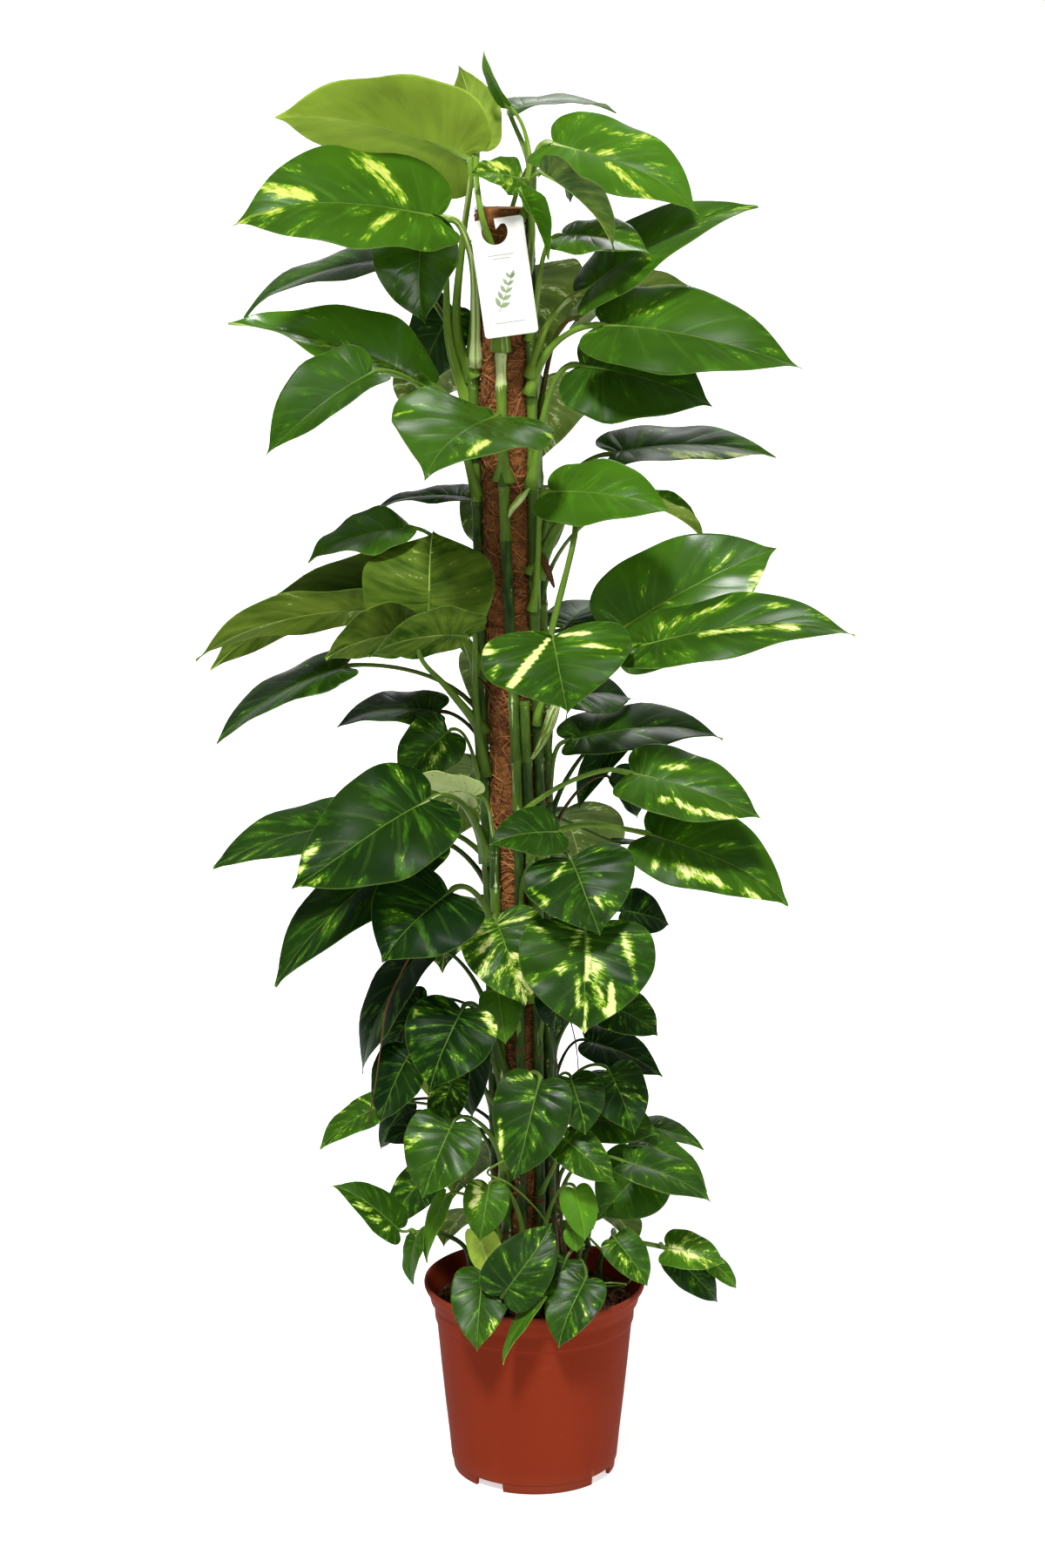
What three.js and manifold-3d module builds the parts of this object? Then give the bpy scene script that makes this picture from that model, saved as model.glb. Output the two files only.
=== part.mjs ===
// Potted golden pothos on a coir pole, in millimetres, +Z up.
// The origin is the middle of the pot's underside, on the floor. -Y is the side shown first.
import * as THREE from 'three';
import { mergeVertices } from 'three/addons/utils/BufferGeometryUtils.js';
import Module from 'manifold-3d';

const wasm = await Module();
wasm.setup();

// Pot: a moulded 24 cm nursery pot
const POT_HEIGHT = 214;
const RIM_RADIUS = 120;
const NECK_RADIUS = 110;
const SHOULDER_RADIUS = 106.5;
const BASE_RADIUS = 89;
const POT_WALL = 2.2;
const SHOULDER_HEIGHT = 170;
const LIP_HEIGHT = 190;
const FOOT_HEIGHT = 11;
const FOOT_WIDTH = 5;
const CENTRE_PAD_RADIUS = 36;
const CENTRE_PAD_SLOPE = 4;
const CENTRE_PAD_THICK = 2.6;
const NOTCHES = 4;
const NOTCH_WIDTH = 34;
const NOTCH_DEPTH = 30;
const FIRST_NOTCH_ANGLE = -34;
const DRAIN_HOLES = 6;
const DRAIN_RADIUS = 5;
const ROUND_SIDES = 28;

// Soil and pole
const SOIL_LEVEL = 190;
const SOIL_TOP_CLEARANCE = 20;
const FIT_GAP = 0.4;
const HOLE_GAP = 1.2;
const CORE_RADIUS = 16;
const CORE_BOTTOM = 40;
const COIR_RADIUS = 27.5;
const COIR_BOTTOM = 120;
const POLE_TOP = 1364;
const COIR_CAP = 7;
const COIR_CHAMFER = 4.5;
const POLE_SIDES = 18;
const POLE_LEAN_X = -34 / POLE_TOP;

// Plant
const BLADE = 1.0;
const STEM_RADIUS = 5.4;
const STEM_SIDES = 5;
const STEM_FOOT_RADIUS = 44;
const STEM_CLOSE_HEIGHT = 300;
const STEM_BOTTOM = 150;
const STEM_COLLAR = 9;
const STEM_STEP = 130;
const STEM_SWAY = 5;
const STEM_TO_COIR = 0.8;
const SHOOT_RADIUS = 2.6;
const HOLE_SIDES = 6;
const BIG_LEAF_WIDTH = 95;
const BIG_LEAF_LENGTH = 80;
const LONG_PETIOLE = 150;

// Hang tag
const TAG_WIDTH = 54;
const TAG_HEIGHT = 117;
const TAG_THICK = 0.9;
const TAG_CORNER = 4;
const HOOK_X = -3;
const HOOK_DROP = 13;
const HOOK_RADIUS = 13;
const TAG_PLACE = [-31.6, -64, 1299];
const TAG_TURN = -8;
const TAG_LEAN = 3;

// Places seen from the front are given in the plane of the pole and carried to their own depth
// along the line of sight from this eye.
const EYE = new THREE.Vector3(-13, -3500, 1560);

const MATERIALS = {
  pot: { color: 0xa03a22, roughness: 0.45, metalness: 0 },
  soil: { color: 0x2b1a12, roughness: 1, metalness: 0 },
  core: { color: 0x735c40, roughness: 0.7, metalness: 0 },
  coir: { color: 0x7a4426, roughness: 1, metalness: 0 },
  plant: { color: 0x2f6b1e, roughness: 0.4, metalness: 0 },
  tag: { color: 0xf2f1ea, roughness: 0.6, metalness: 0 },
};

// Each leaf: name, height of its node on the stem, heel [x, z, y], tip [x, z, y], width, and the
// azimuth and elevation that its upper face looks to (0 is to the front, 90 to the right).
const VINES = [
  {
    name: 'vine_left', angle: -85, top: 1215,
    leaves: [
      ['L01', 1190, [-71, 1415, -22], [-262, 1458, -45], 152, [172, 45],
        [[-80, 1235, 8], [-74, 1330, -8], [-66, 1388, -30]], 1.85],
      ['L02', 1208, [-98, 1354, -60], [-305, 1355, -110], 164, [-5, 50],
        [[-62, 1262, -24], [-66, 1318, -48], [-80, 1350, -58]]],
      ['L04', 1145, [-116, 1337, -22], [-113, 1247, -50], 92, [-15, 22],
        [[-88, 1230, 12], [-94, 1315, 2]]],
      ['L05', 1110, [-120, 1190, -16], [-313, 1251, 0], 92, [-20, 62]],
      ['L06', 1070, [-169, 1196, -100], [-279, 1114, -135], 84, [-20, 42]],
      ['L09', 985, [-72, 1069, 20], [-172, 1054, 34], 66, [-20, 84]],
      ['L10', 930, [-136, 1036, -20], [-236, 1003, -42], 80, [-10, 70]],
      ['L11', 875, [-110, 945, -84], [-103, 1042, -12], 132, [176, 14]],
      ['L13', 822, [-130, 928, -90], [-227, 895, -116], 96, [180, 48],
        [[-92, 868, -28], [-120, 902, -86]]],
      ['L14', 775, [-72, 925, -100], [-187, 898, -165], 100, [172, 48]],
      ['L35', 735, [-91, 821, 0], [-141, 765, -8], 68, [-20, 28]],
      ['L37', 680, [-112, 747, -95], [-258, 651, -150], 126, [-12, 40]],
      ['L53', 500, [-120, 584, -20], [-189, 447, -30], 78, [-60, 30]],
      ['L59', 400, [-134, 468, -40], [-166, 392, -52], 64, [-30, 30]],
      ['L60', 345, [-163, 411, -15], [-233, 363, -25], 48, [-10, 66]],
      ['L79', 262, [-117, 331, 0], [-157, 273, -6], 50, [-25, 35]],
    ],
  },
  {
    name: 'vine_front', angle: -4, top: 1238,
    leaves: [
      ['L16b', 1222, [-60, 1423, -14], [-76, 1504, 22], 62, [170, 20],
        [[-37, 1290, -46], [-47, 1332, -57], [-54, 1354, -71], [-60, 1394, -50]], 1.76],
      ['L08', 1090, [-43, 1151, -84], [-114, 1093, -205], 158, [0, 62]],
      ['L45', 715, [104, 776, -62], [239, 728, -100], 92, [5, 52],
        [[-16, 729, -54], [28, 763, -68], [76, 780, -64]]],
      ['L44', 640, [24, 713, -90], [-48, 700, -112], 62, [0, 50]],
      ['L41', 560, [-41, 616, -90], [-10, 522, -125], 90, [0, 28]],
      ['L57', 490, [-39, 536, -72], [-31, 479, -88], 44, [0, 30]],
      ['L64', 425, [5, 436, -100], [-23, 326, -130], 80, [-5, 28]],
      ['L67', 345, [4, 392, -52], [-2, 345, -60], 38, [0, 25]],
      ['L81', 268, [-49, 319, -80], [-60, 256, -100], 48, [0, 25]],
    ],
  },
  {
    name: 'vine_front_left', angle: -44, top: 722,
    leaves: [
      ['L36', 700, [-63, 752, -48], [-132, 771, -54], 62, [175, 55]],
      ['L40', 590, [-91, 647, -100], [-163, 569, -150], 114, [-10, 38]],
      ['L55', 455, [-78, 517, -92], [-113, 428, -125], 94, [-8, 34]],
      ['L63', 420, [-64, 478, -46], [-68, 395, -48], 46, [-30, 25]],
      ['L62b', 385, [-88, 439, -55], [-107, 380, -62], 45, [-20, 30]],
      ['L62', 335, [-88, 390, -92], [-122, 306, -122], 80, [-8, 34]],
      ['L80', 250, [-96, 306, -66], [-118, 231, -72], 34, [-60, 30]],
    ],
  },
  {
    name: 'vine_right', angle: 48, top: 1392,
    leaves: [
      ['L16', 1385, [-31, 1468, -30], [-53, 1518, -32], 20, [-60, 10]],
      ['L17', 1378, [-24, 1462, 12], [82, 1461, 70], 74, [10, 84], [[-6, 1408, 2], [-22, 1448, 10]]],
      ['L18', 1355, [19, 1427, -30], [166, 1362, -85], 100, [12, 44]],
      ['L15', 1338, [-16, 1393, -60], [-66, 1397, -78], 48, [0, 48]],
      ['L21', 1318, [-14, 1378, -92], [14, 1312, -106], 38, [20, 20]],
      ['L20b', 1300, [8, 1398, -100], [84, 1324, -138], 52, [200, 62],
        [[-2, 1340, -60], [-4, 1392, -90]]],
      ['L20a', 1232, [29, 1336, -50], [117, 1319, -92], 74, [5, 62]],
      ['L22', 1195, [54, 1282, -35], [223, 1370, -60], 100, [0, 62]],
      ['L24', 1178, [72, 1245, -62], [273, 1207, -120], 112, [4, 45]],
      ['L25', 1082, [48, 1204, -20], [182, 1163, -50], 116, [0, 40]],
      ['L32', 990, [18, 922, -112], [34, 843, -160], 150, [0, 30], [[26, 1042, -30], [42, 1040, -84]]],
      ['L27', 955, [18, 1074, -62], [142, 1055, -105], 92, [0, 52]],
      ['L30', 835, [112, 913, -92], [333, 928, -145], 84, [0, 50]],
      ['L46', 690, [122, 710, -40], [271, 636, -70], 104, [8, 45]],
    ],
  },
  {
    name: 'vine_front_right', angle: 23, top: 860,
    leaves: [
      ['L42', 610, [38, 684, -105], [70, 602, -155], 114, [5, 34]],
      ['L43', 535, [54, 607, -115], [53, 491, -160], 138, [2, 26]],
      ['L76', 480, [24, 546, -60], [21, 492, -66], 46, [10, 20]],
      ['L65', 385, [39, 441, -80], [55, 377, -105], 60, [8, 28]],
      ['L68', 320, [32, 372, -90], [87, 324, -115], 50, [10, 40], [[24, 348, -54], [30, 368, -76]]],
      ['L88', 262, [44, 315, -88], [55, 256, -100], 38, [5, 30]],
    ],
  },
  {
    name: 'vine_right_back', angle: 112, top: 1150,
    leaves: [
      ['L23', 1135, [45, 1255, 30], [156, 1291, 55], 82, [170, 62]],
      ['L26', 1020, [81, 1114, 20], [249, 1113, 45], 90, [0, 72]],
      ['L28', 960, [113, 1062, 5], [176, 1024, 15], 46, [70, 70]],
      ['L29', 850, [88, 929, -30], [250, 1019, -20], 126, [0, 34]],
      ['L47', 790, [34, 858, 25], [101, 858, 60], 80, [0, 64]],
      ['L48', 745, [40, 812, 5], [198, 818, 25], 90, [0, 70]],
      ['L49', 715, [106, 834, 70], [44, 737, 66], 46, [-30, 12]],
      ['L50', 690, [79, 771, 35], [109, 728, 50], 54, [30, 40]],
      ['L52', 560, [93, 627, 20], [144, 613, 35], 58, [10, 50]],
      ['L75', 455, [80, 522, -20], [132, 489, -40], 58, [15, 45]],
      ['L74', 420, [57, 483, 20], [138, 443, 20], 60, [10, 60]],
      ['L66', 385, [80, 449, -50], [109, 378, -80], 66, [20, 34]],
      ['L69', 345, [58, 395, -22], [134, 377, -45], 60, [5, 50]],
      ['L70', 325, [118, 387, 10], [183, 361, 8], 42, [20, 74]],
      ['L71', 305, [114, 372, -32], [189, 315, -42], 46, [20, 60]],
      ['L72', 285, [100, 346, -76], [191, 301, -98], 56, [10, 62]],
      ['L73', 265, [119, 342, -22], [70, 284, -42], 82, [0, 22], [[84, 292, 30], [130, 356, 8]], 1.3],
    ],
  },
  {
    name: 'vine_back', angle: 178, top: 1325,
    leaves: [
      ['L19', 1310, [22, 1421, 35], [35, 1369, 48], 62, [70, 12]],
      ['K02', 1205, [-12, 1300, 90], [10, 1215, 195], 118, [180, 35]],
      ['K18', 1090, [4, 1190, 92], [0, 1100, 205], 114, [174, 32]],
      ['K05', 985, [-25, 1075, 92], [-10, 975, 200], 116, [182, 35]],
      ['L31', 880, [31, 932, 62], [69, 959, 140], 84, [160, 62]],
      ['K17', 820, [-20, 905, 95], [-45, 825, 215], 114, [180, 34]],
      ['K09', 640, [30, 735, 85], [60, 650, 190], 118, [170, 35]],
      ['L51', 700, [91, 702, 75], [129, 696, 110], 36, [150, 70]],
      ['K10', 560, [-60, 640, 85], [-100, 565, 185], 108, [195, 35]],
      ['K20', 450, [-12, 540, 92], [0, 455, 195], 98, [180, 34]],
      ['K12', 400, [-70, 478, 80], [-108, 410, 160], 86, [200, 34]],
      ['K13', 350, [45, 430, 82], [80, 372, 165], 84, [165, 34]],
      ['K22', 290, [-8, 365, 80], [-20, 300, 150], 76, [180, 34]],
    ],
  },
  {
    name: 'vine_left_back', angle: -138, top: 1180,
    leaves: [
      ['L03', 1165, [-149, 1312, 20], [-301, 1260, 45], 86, [-5, 74],
        [[-78, 1225, 34], [-118, 1290, 32]]],
      ['L07', 1140, [-84, 1262, 60], [-120, 1181, 82], 74, [-25, 22],
        [[-62, 1200, 62], [-70, 1256, 70]]],
      ['K01', 1100, [-84, 1205, 106], [-126, 1150, 165], 92, [205, 35]],
      ['K06', 895, [-80, 985, 82], [-130, 905, 190], 122, [195, 35]],
      ['L12a', 855, [-122, 985, 22], [-341, 893, 26], 112, [176, 52]],
      ['L12b', 830, [-166, 952, -14], [-355, 901, -12], 92, [180, 55]],
      ['L33', 790, [-200, 890, 28], [-335, 809, 38], 84, [0, 74]],
      ['L34', 755, [-102, 843, 52], [-209, 831, 70], 78, [-5, 74]],
      ['K08', 690, [-62, 790, 90], [-92, 700, 195], 116, [190, 35]],
      ['L38', 630, [-174, 722, -22], [-341, 674, -25], 92, [0, 66]],
      ['L39', 590, [-118, 700, 5], [-282, 547, -15], 104, [-20, 58]],
      ['L54', 460, [-118, 527, 22], [-164, 453, 30], 60, [-40, 34]],
      ['L61b', 350, [-135, 414, 44], [-168, 361, 54], 42, [-30, 44]],
      ['L61', 335, [-114, 388, 8], [-163, 369, 5], 46, [-10, 62]],
      ['K14', 290, [-52, 370, 78], [-90, 308, 150], 78, [195, 35]],
    ],
  },
];

// Short shoots in the soil: foot [x, y], the points of the stem above it, and the leaves, each
// with the place along the stem (0 to 1) where its petiole starts.
const SHOOTS = [
  {
    name: 'shoot_left', foot: [-72, -22],
    stem: [[-74, 246, -28], [-100, 264, -40], [-136, 266, -46]],
    leaves: [
      ['L77', 0.96, [-148, 270, -50], [-218, 320, -68], 48, [-30, 52]],
      ['L78', 0.72, [-128, 260, -60], [-134, 206, -76], 36, [-60, 24]],
    ],
  },
  {
    name: 'shoot_front_left', foot: [-46, -58],
    stem: [[-50, 222, -64], [-52, 248, -68]],
    leaves: [
      ['L82', 0.95, [-62, 266, -76], [-44, 196, -94], 42, [160, 24]],
      ['L84', 0.35, [-56, 219, -97], [-63, 129, -146], 62, [-8, 26]],
    ],
  },
  {
    name: 'shoot_front', foot: [-6, -74],
    stem: [[-6, 214, -78], [-4, 226, -80]],
    leaves: [
      ['L83', 0.9, [-34, 194, -130], [19, 277, -98], 68, [-4, 14]],
      ['L85', 0.6, [6, 188, -126], [-35, 113, -148], 30, [-70, 40]],
    ],
  },
  {
    name: 'shoot_front_right', foot: [44, -62],
    stem: [[46, 222, -66], [50, 252, -70]],
    leaves: [
      ['L86', 0.92, [34, 234, -84], [17, 181, -104], 54, [-8, 34]],
      ['L87', 0.5, [55, 211, -110], [26, 133, -143], 58, [-12, 30]],
      ['L89', 0.98, [42, 269, -82], [46, 243, -86], 22, [0, 24]],
    ],
  },
  {
    name: 'shoot_right', foot: [72, -12],
    stem: [[72, 236, -20], [86, 258, -30], [116, 254, -34], [140, 249, -34], [186, 236, -26]],
    leaves: [
      ['L90', 0.4, [88, 258, -62], [123, 204, -84], 44, [15, 34]],
      ['L91', 0.78, [144, 248, -48], [207, 231, -62], 50, [5, 54]],
      ['L92', 0.82, [148, 240, -22], [202, 186, -14], 46, [10, 44]],
      ['L93', 0.97, [191, 233, -16], [221, 202, -12], 24, [20, 44]],
    ],
  },
  {
    name: 'shoot_back_left', foot: [-50, 56],
    stem: [[-54, 244, 62], [-58, 272, 70]],
    leaves: [
      ['K30', 0.95, [-72, 292, 88], [-100, 252, 126], 52, [205, 40]],
      ['K31', 0.6, [-36, 276, 96], [-30, 240, 146], 48, [180, 38]],
    ],
  },
  {
    name: 'shoot_back_right', foot: [52, 54],
    stem: [[56, 244, 60], [60, 274, 68]],
    leaves: [
      ['K32', 0.95, [76, 294, 84], [112, 254, 120], 54, [155, 40]],
      ['K33', 0.6, [38, 278, 94], [30, 242, 146], 48, [180, 38]],
    ],
  },
];

// Stations of the blade's outline, from heel to tip. Each gives the place on the midrib, the
// place along and the half width of the edge, as shares of the leaf's length and width.
const BIG_OUTLINE = [
  [0.03, -0.09, 0.23],
  [0.08, 0.04, 0.46],
  [0.2, 0.36, 0.5],
  [0.5, 0.74, 0.31],
  [1, 1, 0],
];
const SMALL_OUTLINE = [
  [0.04, -0.085, 0.27],
  [0.12, 0.17, 0.5],
  [0.38, 0.62, 0.4],
  [1, 1, 0],
];
const FOLD = 0.26;
const CURL = 0.2;
const ARCH = 0.07;
// A leaf whose blade bends back over its own stalk
const OWN_ARCH = { L11: -0.2 };
const LOBE_DROOP = 0.5;
const PETIOLE_RISE = 0.5;
const PETIOLE_STEPS = 4;
const PETIOLE_THICK = 1.35;
const PETIOLE_SWELL = [1.5, 1.1];
const NECK_BACK = 3;
const HEEL_DEPTH = 1.2;

function rad(degrees) {
  return (degrees * Math.PI) / 180;
}

function facing(azimuth, elevation) {
  const flat = Math.cos(rad(elevation));
  return new THREE.Vector3(
    Math.sin(rad(azimuth)) * flat,
    -Math.cos(rad(azimuth)) * flat,
    Math.sin(rad(elevation)),
  );
}

// A place seen at x, z in the pole's plane, carried to depth y
function sighted([x, z, y]) {
  const share = (y - EYE.y) / -EYE.y;
  return new THREE.Vector3(EYE.x + (x - EYE.x) * share, y, EYE.z + (z - EYE.z) * share);
}

function directionBetween(from, to) {
  return to.clone().sub(from).normalize();
}

function poleAxis(z) {
  return new THREE.Vector3(POLE_LEAN_X * z, 0, z);
}

function solidFrom(positions, triangles) {
  return new wasm.Manifold(
    new wasm.Mesh({
      numProp: 3,
      vertProperties: Float32Array.from(positions),
      triVerts: Uint32Array.from(triangles),
    }),
  );
}

function solidFromGeometry(geometry) {
  const bare = geometry.clone();
  bare.deleteAttribute('normal');
  bare.deleteAttribute('uv');
  const welded = mergeVertices(bare, 1e-4);
  return solidFrom(welded.attributes.position.array, welded.index.array);
}

function geometryFrom(solid) {
  const mesh = solid.getMesh();
  const geometry = new THREE.BufferGeometry();
  geometry.setAttribute('position', new THREE.BufferAttribute(mesh.vertProperties, 3));
  geometry.setIndex(new THREE.BufferAttribute(mesh.triVerts, 1));
  geometry.computeVertexNormals();
  return geometry;
}

function meshNamed(name, geometry, material) {
  const mesh = new THREE.Mesh(geometry, new THREE.MeshStandardMaterial(MATERIALS[material]));
  mesh.name = name;
  return mesh;
}

// A turned body whose profile of [radius, z] pairs starts and ends on the axis
function turned(profile, sides = ROUND_SIDES) {
  const points = profile.map(([radius, z]) => new THREE.Vector2(radius, z));
  return new THREE.LatheGeometry(points, sides).rotateX(Math.PI / 2);
}

function cylinder(radius, low, high, sides, x = 0, y = 0) {
  const geometry = new THREE.CylinderGeometry(radius, radius, high - low, sides);
  return geometry.rotateX(Math.PI / 2).translate(x, y, (low + high) / 2);
}

// The pole leans: each level is moved along X in step with its height
function leaned(geometry) {
  return geometry.applyMatrix4(new THREE.Matrix4().makeShear(0, 0, 0, 0, POLE_LEAN_X, 0));
}

// A closed tapering tube through the points, with one radius for each
function tube(points, radii, sides) {
  const positions = [];
  const triangles = [];
  const tangents = points.map((point, i) => {
    const before = points[Math.max(i - 1, 0)];
    const after = points[Math.min(i + 1, points.length - 1)];
    return after.clone().sub(before).normalize();
  });
  const side = new THREE.Vector3(1, 0, 0);
  points.forEach((point, i) => {
    side.addScaledVector(tangents[i], -side.dot(tangents[i])).normalize();
    const other = tangents[i].clone().cross(side);
    for (let k = 0; k < sides; k += 1) {
      const turn = (2 * Math.PI * k) / sides;
      const spoke = side.clone().multiplyScalar(Math.cos(turn));
      spoke.addScaledVector(other, Math.sin(turn)).multiplyScalar(radii[i]).add(point);
      positions.push(spoke.x, spoke.y, spoke.z);
    }
  });
  for (let i = 0; i < points.length - 1; i += 1) {
    for (let k = 0; k < sides; k += 1) {
      const next = (k + 1) % sides;
      const low = i * sides;
      const high = low + sides;
      triangles.push(low + k, low + next, high + next, low + k, high + next, high + k);
    }
  }
  const last = (points.length - 1) * sides;
  for (let k = 1; k < sides - 1; k += 1) {
    triangles.push(0, k + 1, k, last, last + k, last + k + 1);
  }
  return solidFrom(positions, triangles);
}

// A leaf's own frame: its heel, and the directions along it, out of its upper face and across it
function leafFrame(heel, tip, width, face, thick, arch = ARCH) {
  const along = tip.clone().sub(heel);
  const length = along.length();
  along.normalize();
  const up = facing(...face);
  up.addScaledVector(along, -up.dot(along)).normalize();
  const across = up.clone().cross(along);
  const isBig = width > BIG_LEAF_WIDTH && length > BIG_LEAF_LENGTH;
  const size = thick || THREE.MathUtils.clamp(width / 55, 1.1, 2.1);
  return { heel, along, up, across, length, width, isBig, size, arch };
}

// A point of the blade's middle surface, u along the length and v millimetres across
function bladePoint(leaf, u, v) {
  const half = leaf.width / 2;
  const q = Math.min(Math.abs(v) / half, 1);
  const arch = leaf.arch * leaf.length * 4 * Math.max(u, 0) * (1 - u);
  const droop = LOBE_DROOP * leaf.length * Math.max(-u, 0);
  return leaf.heel.clone()
    .addScaledVector(leaf.along, u * leaf.length)
    .addScaledVector(leaf.across, v)
    .addScaledVector(leaf.up, arch - droop + half * (FOLD * q - CURL * q * q));
}

// The rings of a petiole, from its foot in the stem to the heel of the blade. It leaves the stem
// upward and bends over just behind the heel, so that it runs on into the midrib.
function petioleRings(leaf, foot, outward, vias) {
  const { heel, along, up, across, size } = leaf;
  const neck = heel.clone().addScaledVector(along, -NECK_BACK * size);
  neck.addScaledVector(up, (-HEEL_DEPTH / 2) * size);
  const reach = neck.distanceTo(foot);
  let points;
  if (vias) {
    points = [foot, ...vias.map(sighted), neck];
  } else {
    const level = neck.clone().sub(foot).setZ(0).normalize();
    const rise = foot.clone().addScaledVector(outward, 0.1 * reach);
    rise.z += PETIOLE_RISE * reach;
    const arrive = neck.clone().addScaledVector(along, -8).addScaledVector(level, -0.16 * reach);
    const steps = reach > LONG_PETIOLE ? PETIOLE_STEPS : PETIOLE_STEPS - 1;
    points = new THREE.CubicBezierCurve3(foot, rise, arrive, neck).getPoints(steps);
  }
  const last = points.length - 1;
  const side = across.clone();
  const forward = along.clone();
  const rings = points.map(() => []);
  for (let i = last; i >= 0; i -= 1) {
    const ahead = i === last ? along.clone() : directionBetween(points[i], points[i + 1]);
    const behind = i === 0 ? ahead : directionBetween(points[i - 1], points[i]);
    const tangent = ahead.clone().add(behind).normalize();
    side.applyQuaternion(new THREE.Quaternion().setFromUnitVectors(forward, tangent));
    forward.copy(tangent);
    const above = tangent.clone().cross(side);
    const radius = size * (PETIOLE_SWELL[i] || PETIOLE_THICK);
    [[1, 1], [-1, 1], [-1, -1], [1, -1]].forEach(([s, t]) => {
      const spoke = side.clone().multiplyScalar(s * radius).addScaledVector(above, t * radius);
      rings[i].push(points[i].clone().add(spoke));
    });
  }
  return rings;
}

// A leaf in one closed piece: a four-sided petiole that runs on into a thin arched heart, which is
// folded a little along its midrib and alike on both faces
function leafSolid(leaf, foot, outward, vias) {
  const { heel, up, across, width, size } = leaf;
  const columns = leaf.isBig ? [-1, -0.5, 0, 0.5, 1] : [-1, 0, 1];
  const vertices = [];
  const triangles = [];
  const keep = (point) => vertices.push(point) - 1;
  const rings = petioleRings(leaf, foot, outward, vias).map((ring) => ring.map(keep));
  const corner = (s, lift) => {
    const point = heel.clone().addScaledVector(across, s * size);
    return keep(point.addScaledVector(up, lift));
  };
  const under = -HEEL_DEPTH * size;
  const heelRing = [corner(1, BLADE / 2), corner(-1, BLADE / 2), corner(-1, under), corner(1, under)];
  rings.push(heelRing);
  triangles.push(rings[0][0], rings[0][3], rings[0][2], rings[0][0], rings[0][2], rings[0][1]);
  for (let i = 0; i < rings.length - 1; i += 1) {
    for (let k = 0; k < 4; k += 1) {
      const next = (k + 1) % 4;
      triangles.push(rings[i][k], rings[i][next], rings[i + 1][next]);
      triangles.push(rings[i][k], rings[i + 1][next], rings[i + 1][k]);
    }
  }
  const outline = leaf.isBig ? BIG_OUTLINE : SMALL_OUTLINE;
  const middle = outline.map(([mid, edge, half]) => (
    half === 0 ? [bladePoint(leaf, mid, 0)]
      : columns.map((c) => bladePoint(leaf, mid + (edge - mid) * Math.abs(c), c * half * width))
  ));
  const faces = [1, -1].map((s) => middle.map((row) => (
    row.map((point) => keep(point.clone().addScaledVector(up, (s * BLADE) / 2)))
  )));
  const [top, bottom] = faces;
  const both = (pick) => {
    const [a, b, c] = pick(top, heelRing[1], heelRing[0]);
    triangles.push(a, b, c);
    const [d, e, f] = pick(bottom, heelRing[2], heelRing[3]);
    triangles.push(d, f, e);
  };
  const centre = (columns.length - 1) / 2;
  for (let k = 0; k < columns.length - 1; k += 1) {
    both((side, low, high) => [k < centre ? low : high, side[0][k], side[0][k + 1]]);
  }
  both((side, low, high) => [low, side[0][centre], high]);
  for (let i = 0; i < outline.length - 2; i += 1) {
    for (let k = 0; k < columns.length - 1; k += 1) {
      both((side) => [side[i][k], side[i + 1][k], side[i + 1][k + 1]]);
      both((side) => [side[i][k], side[i + 1][k + 1], side[i][k + 1]]);
    }
  }
  const last = outline.length - 1;
  for (let k = 0; k < columns.length - 1; k += 1) {
    both((side) => [side[last - 1][k], side[last][0], side[last - 1][k + 1]]);
  }
  const edgeOf = (k) => middle.map((row, i) => {
    const column = Math.min(k, row.length - 1);
    return [top[i][column], bottom[i][column]];
  });
  const left = [[heelRing[1], heelRing[2]], ...edgeOf(0)];
  const right = [[heelRing[0], heelRing[3]], ...edgeOf(columns.length - 1)];
  for (let i = 0; i < left.length - 1; i += 1) {
    const [a, b] = left[i];
    const [c, d] = left[i + 1];
    triangles.push(a, b, d, a, d, c);
    const [e, f] = right[i];
    const [g, h] = right[i + 1];
    triangles.push(e, g, h, e, h, f);
  }
  return solidFrom(vertices.flatMap((point) => point.toArray()), triangles);
}

function leafAt(foot, outward, row) {
  const [name, , heel, tip, width, face, vias, thick] = row;
  const leaf = leafFrame(sighted(heel), sighted(tip), width, face, thick, OWN_ARCH[name]);
  return leafSolid(leaf, foot, outward, vias);
}

// A climbing stem stands off the pole at the soil and lies against the coir higher up
function vineStem(vine, z) {
  const low = SOIL_LEVEL + STEM_COLLAR;
  const share = THREE.MathUtils.clamp((z - low) / (STEM_CLOSE_HEIGHT - low), 0, 1);
  const close = COIR_RADIUS + STEM_RADIUS + STEM_TO_COIR;
  const radius = THREE.MathUtils.lerp(STEM_FOOT_RADIUS, close, share);
  const sway = z > low ? STEM_SWAY * Math.sin(z / STEM_STEP + vine.angle) : 0;
  const turn = rad(vine.angle + sway);
  const centre = poleAxis(Math.max(z, SOIL_LEVEL)).setZ(z);
  return centre.add(new THREE.Vector3(radius * Math.sin(turn), -radius * Math.cos(turn), 0));
}

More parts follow.
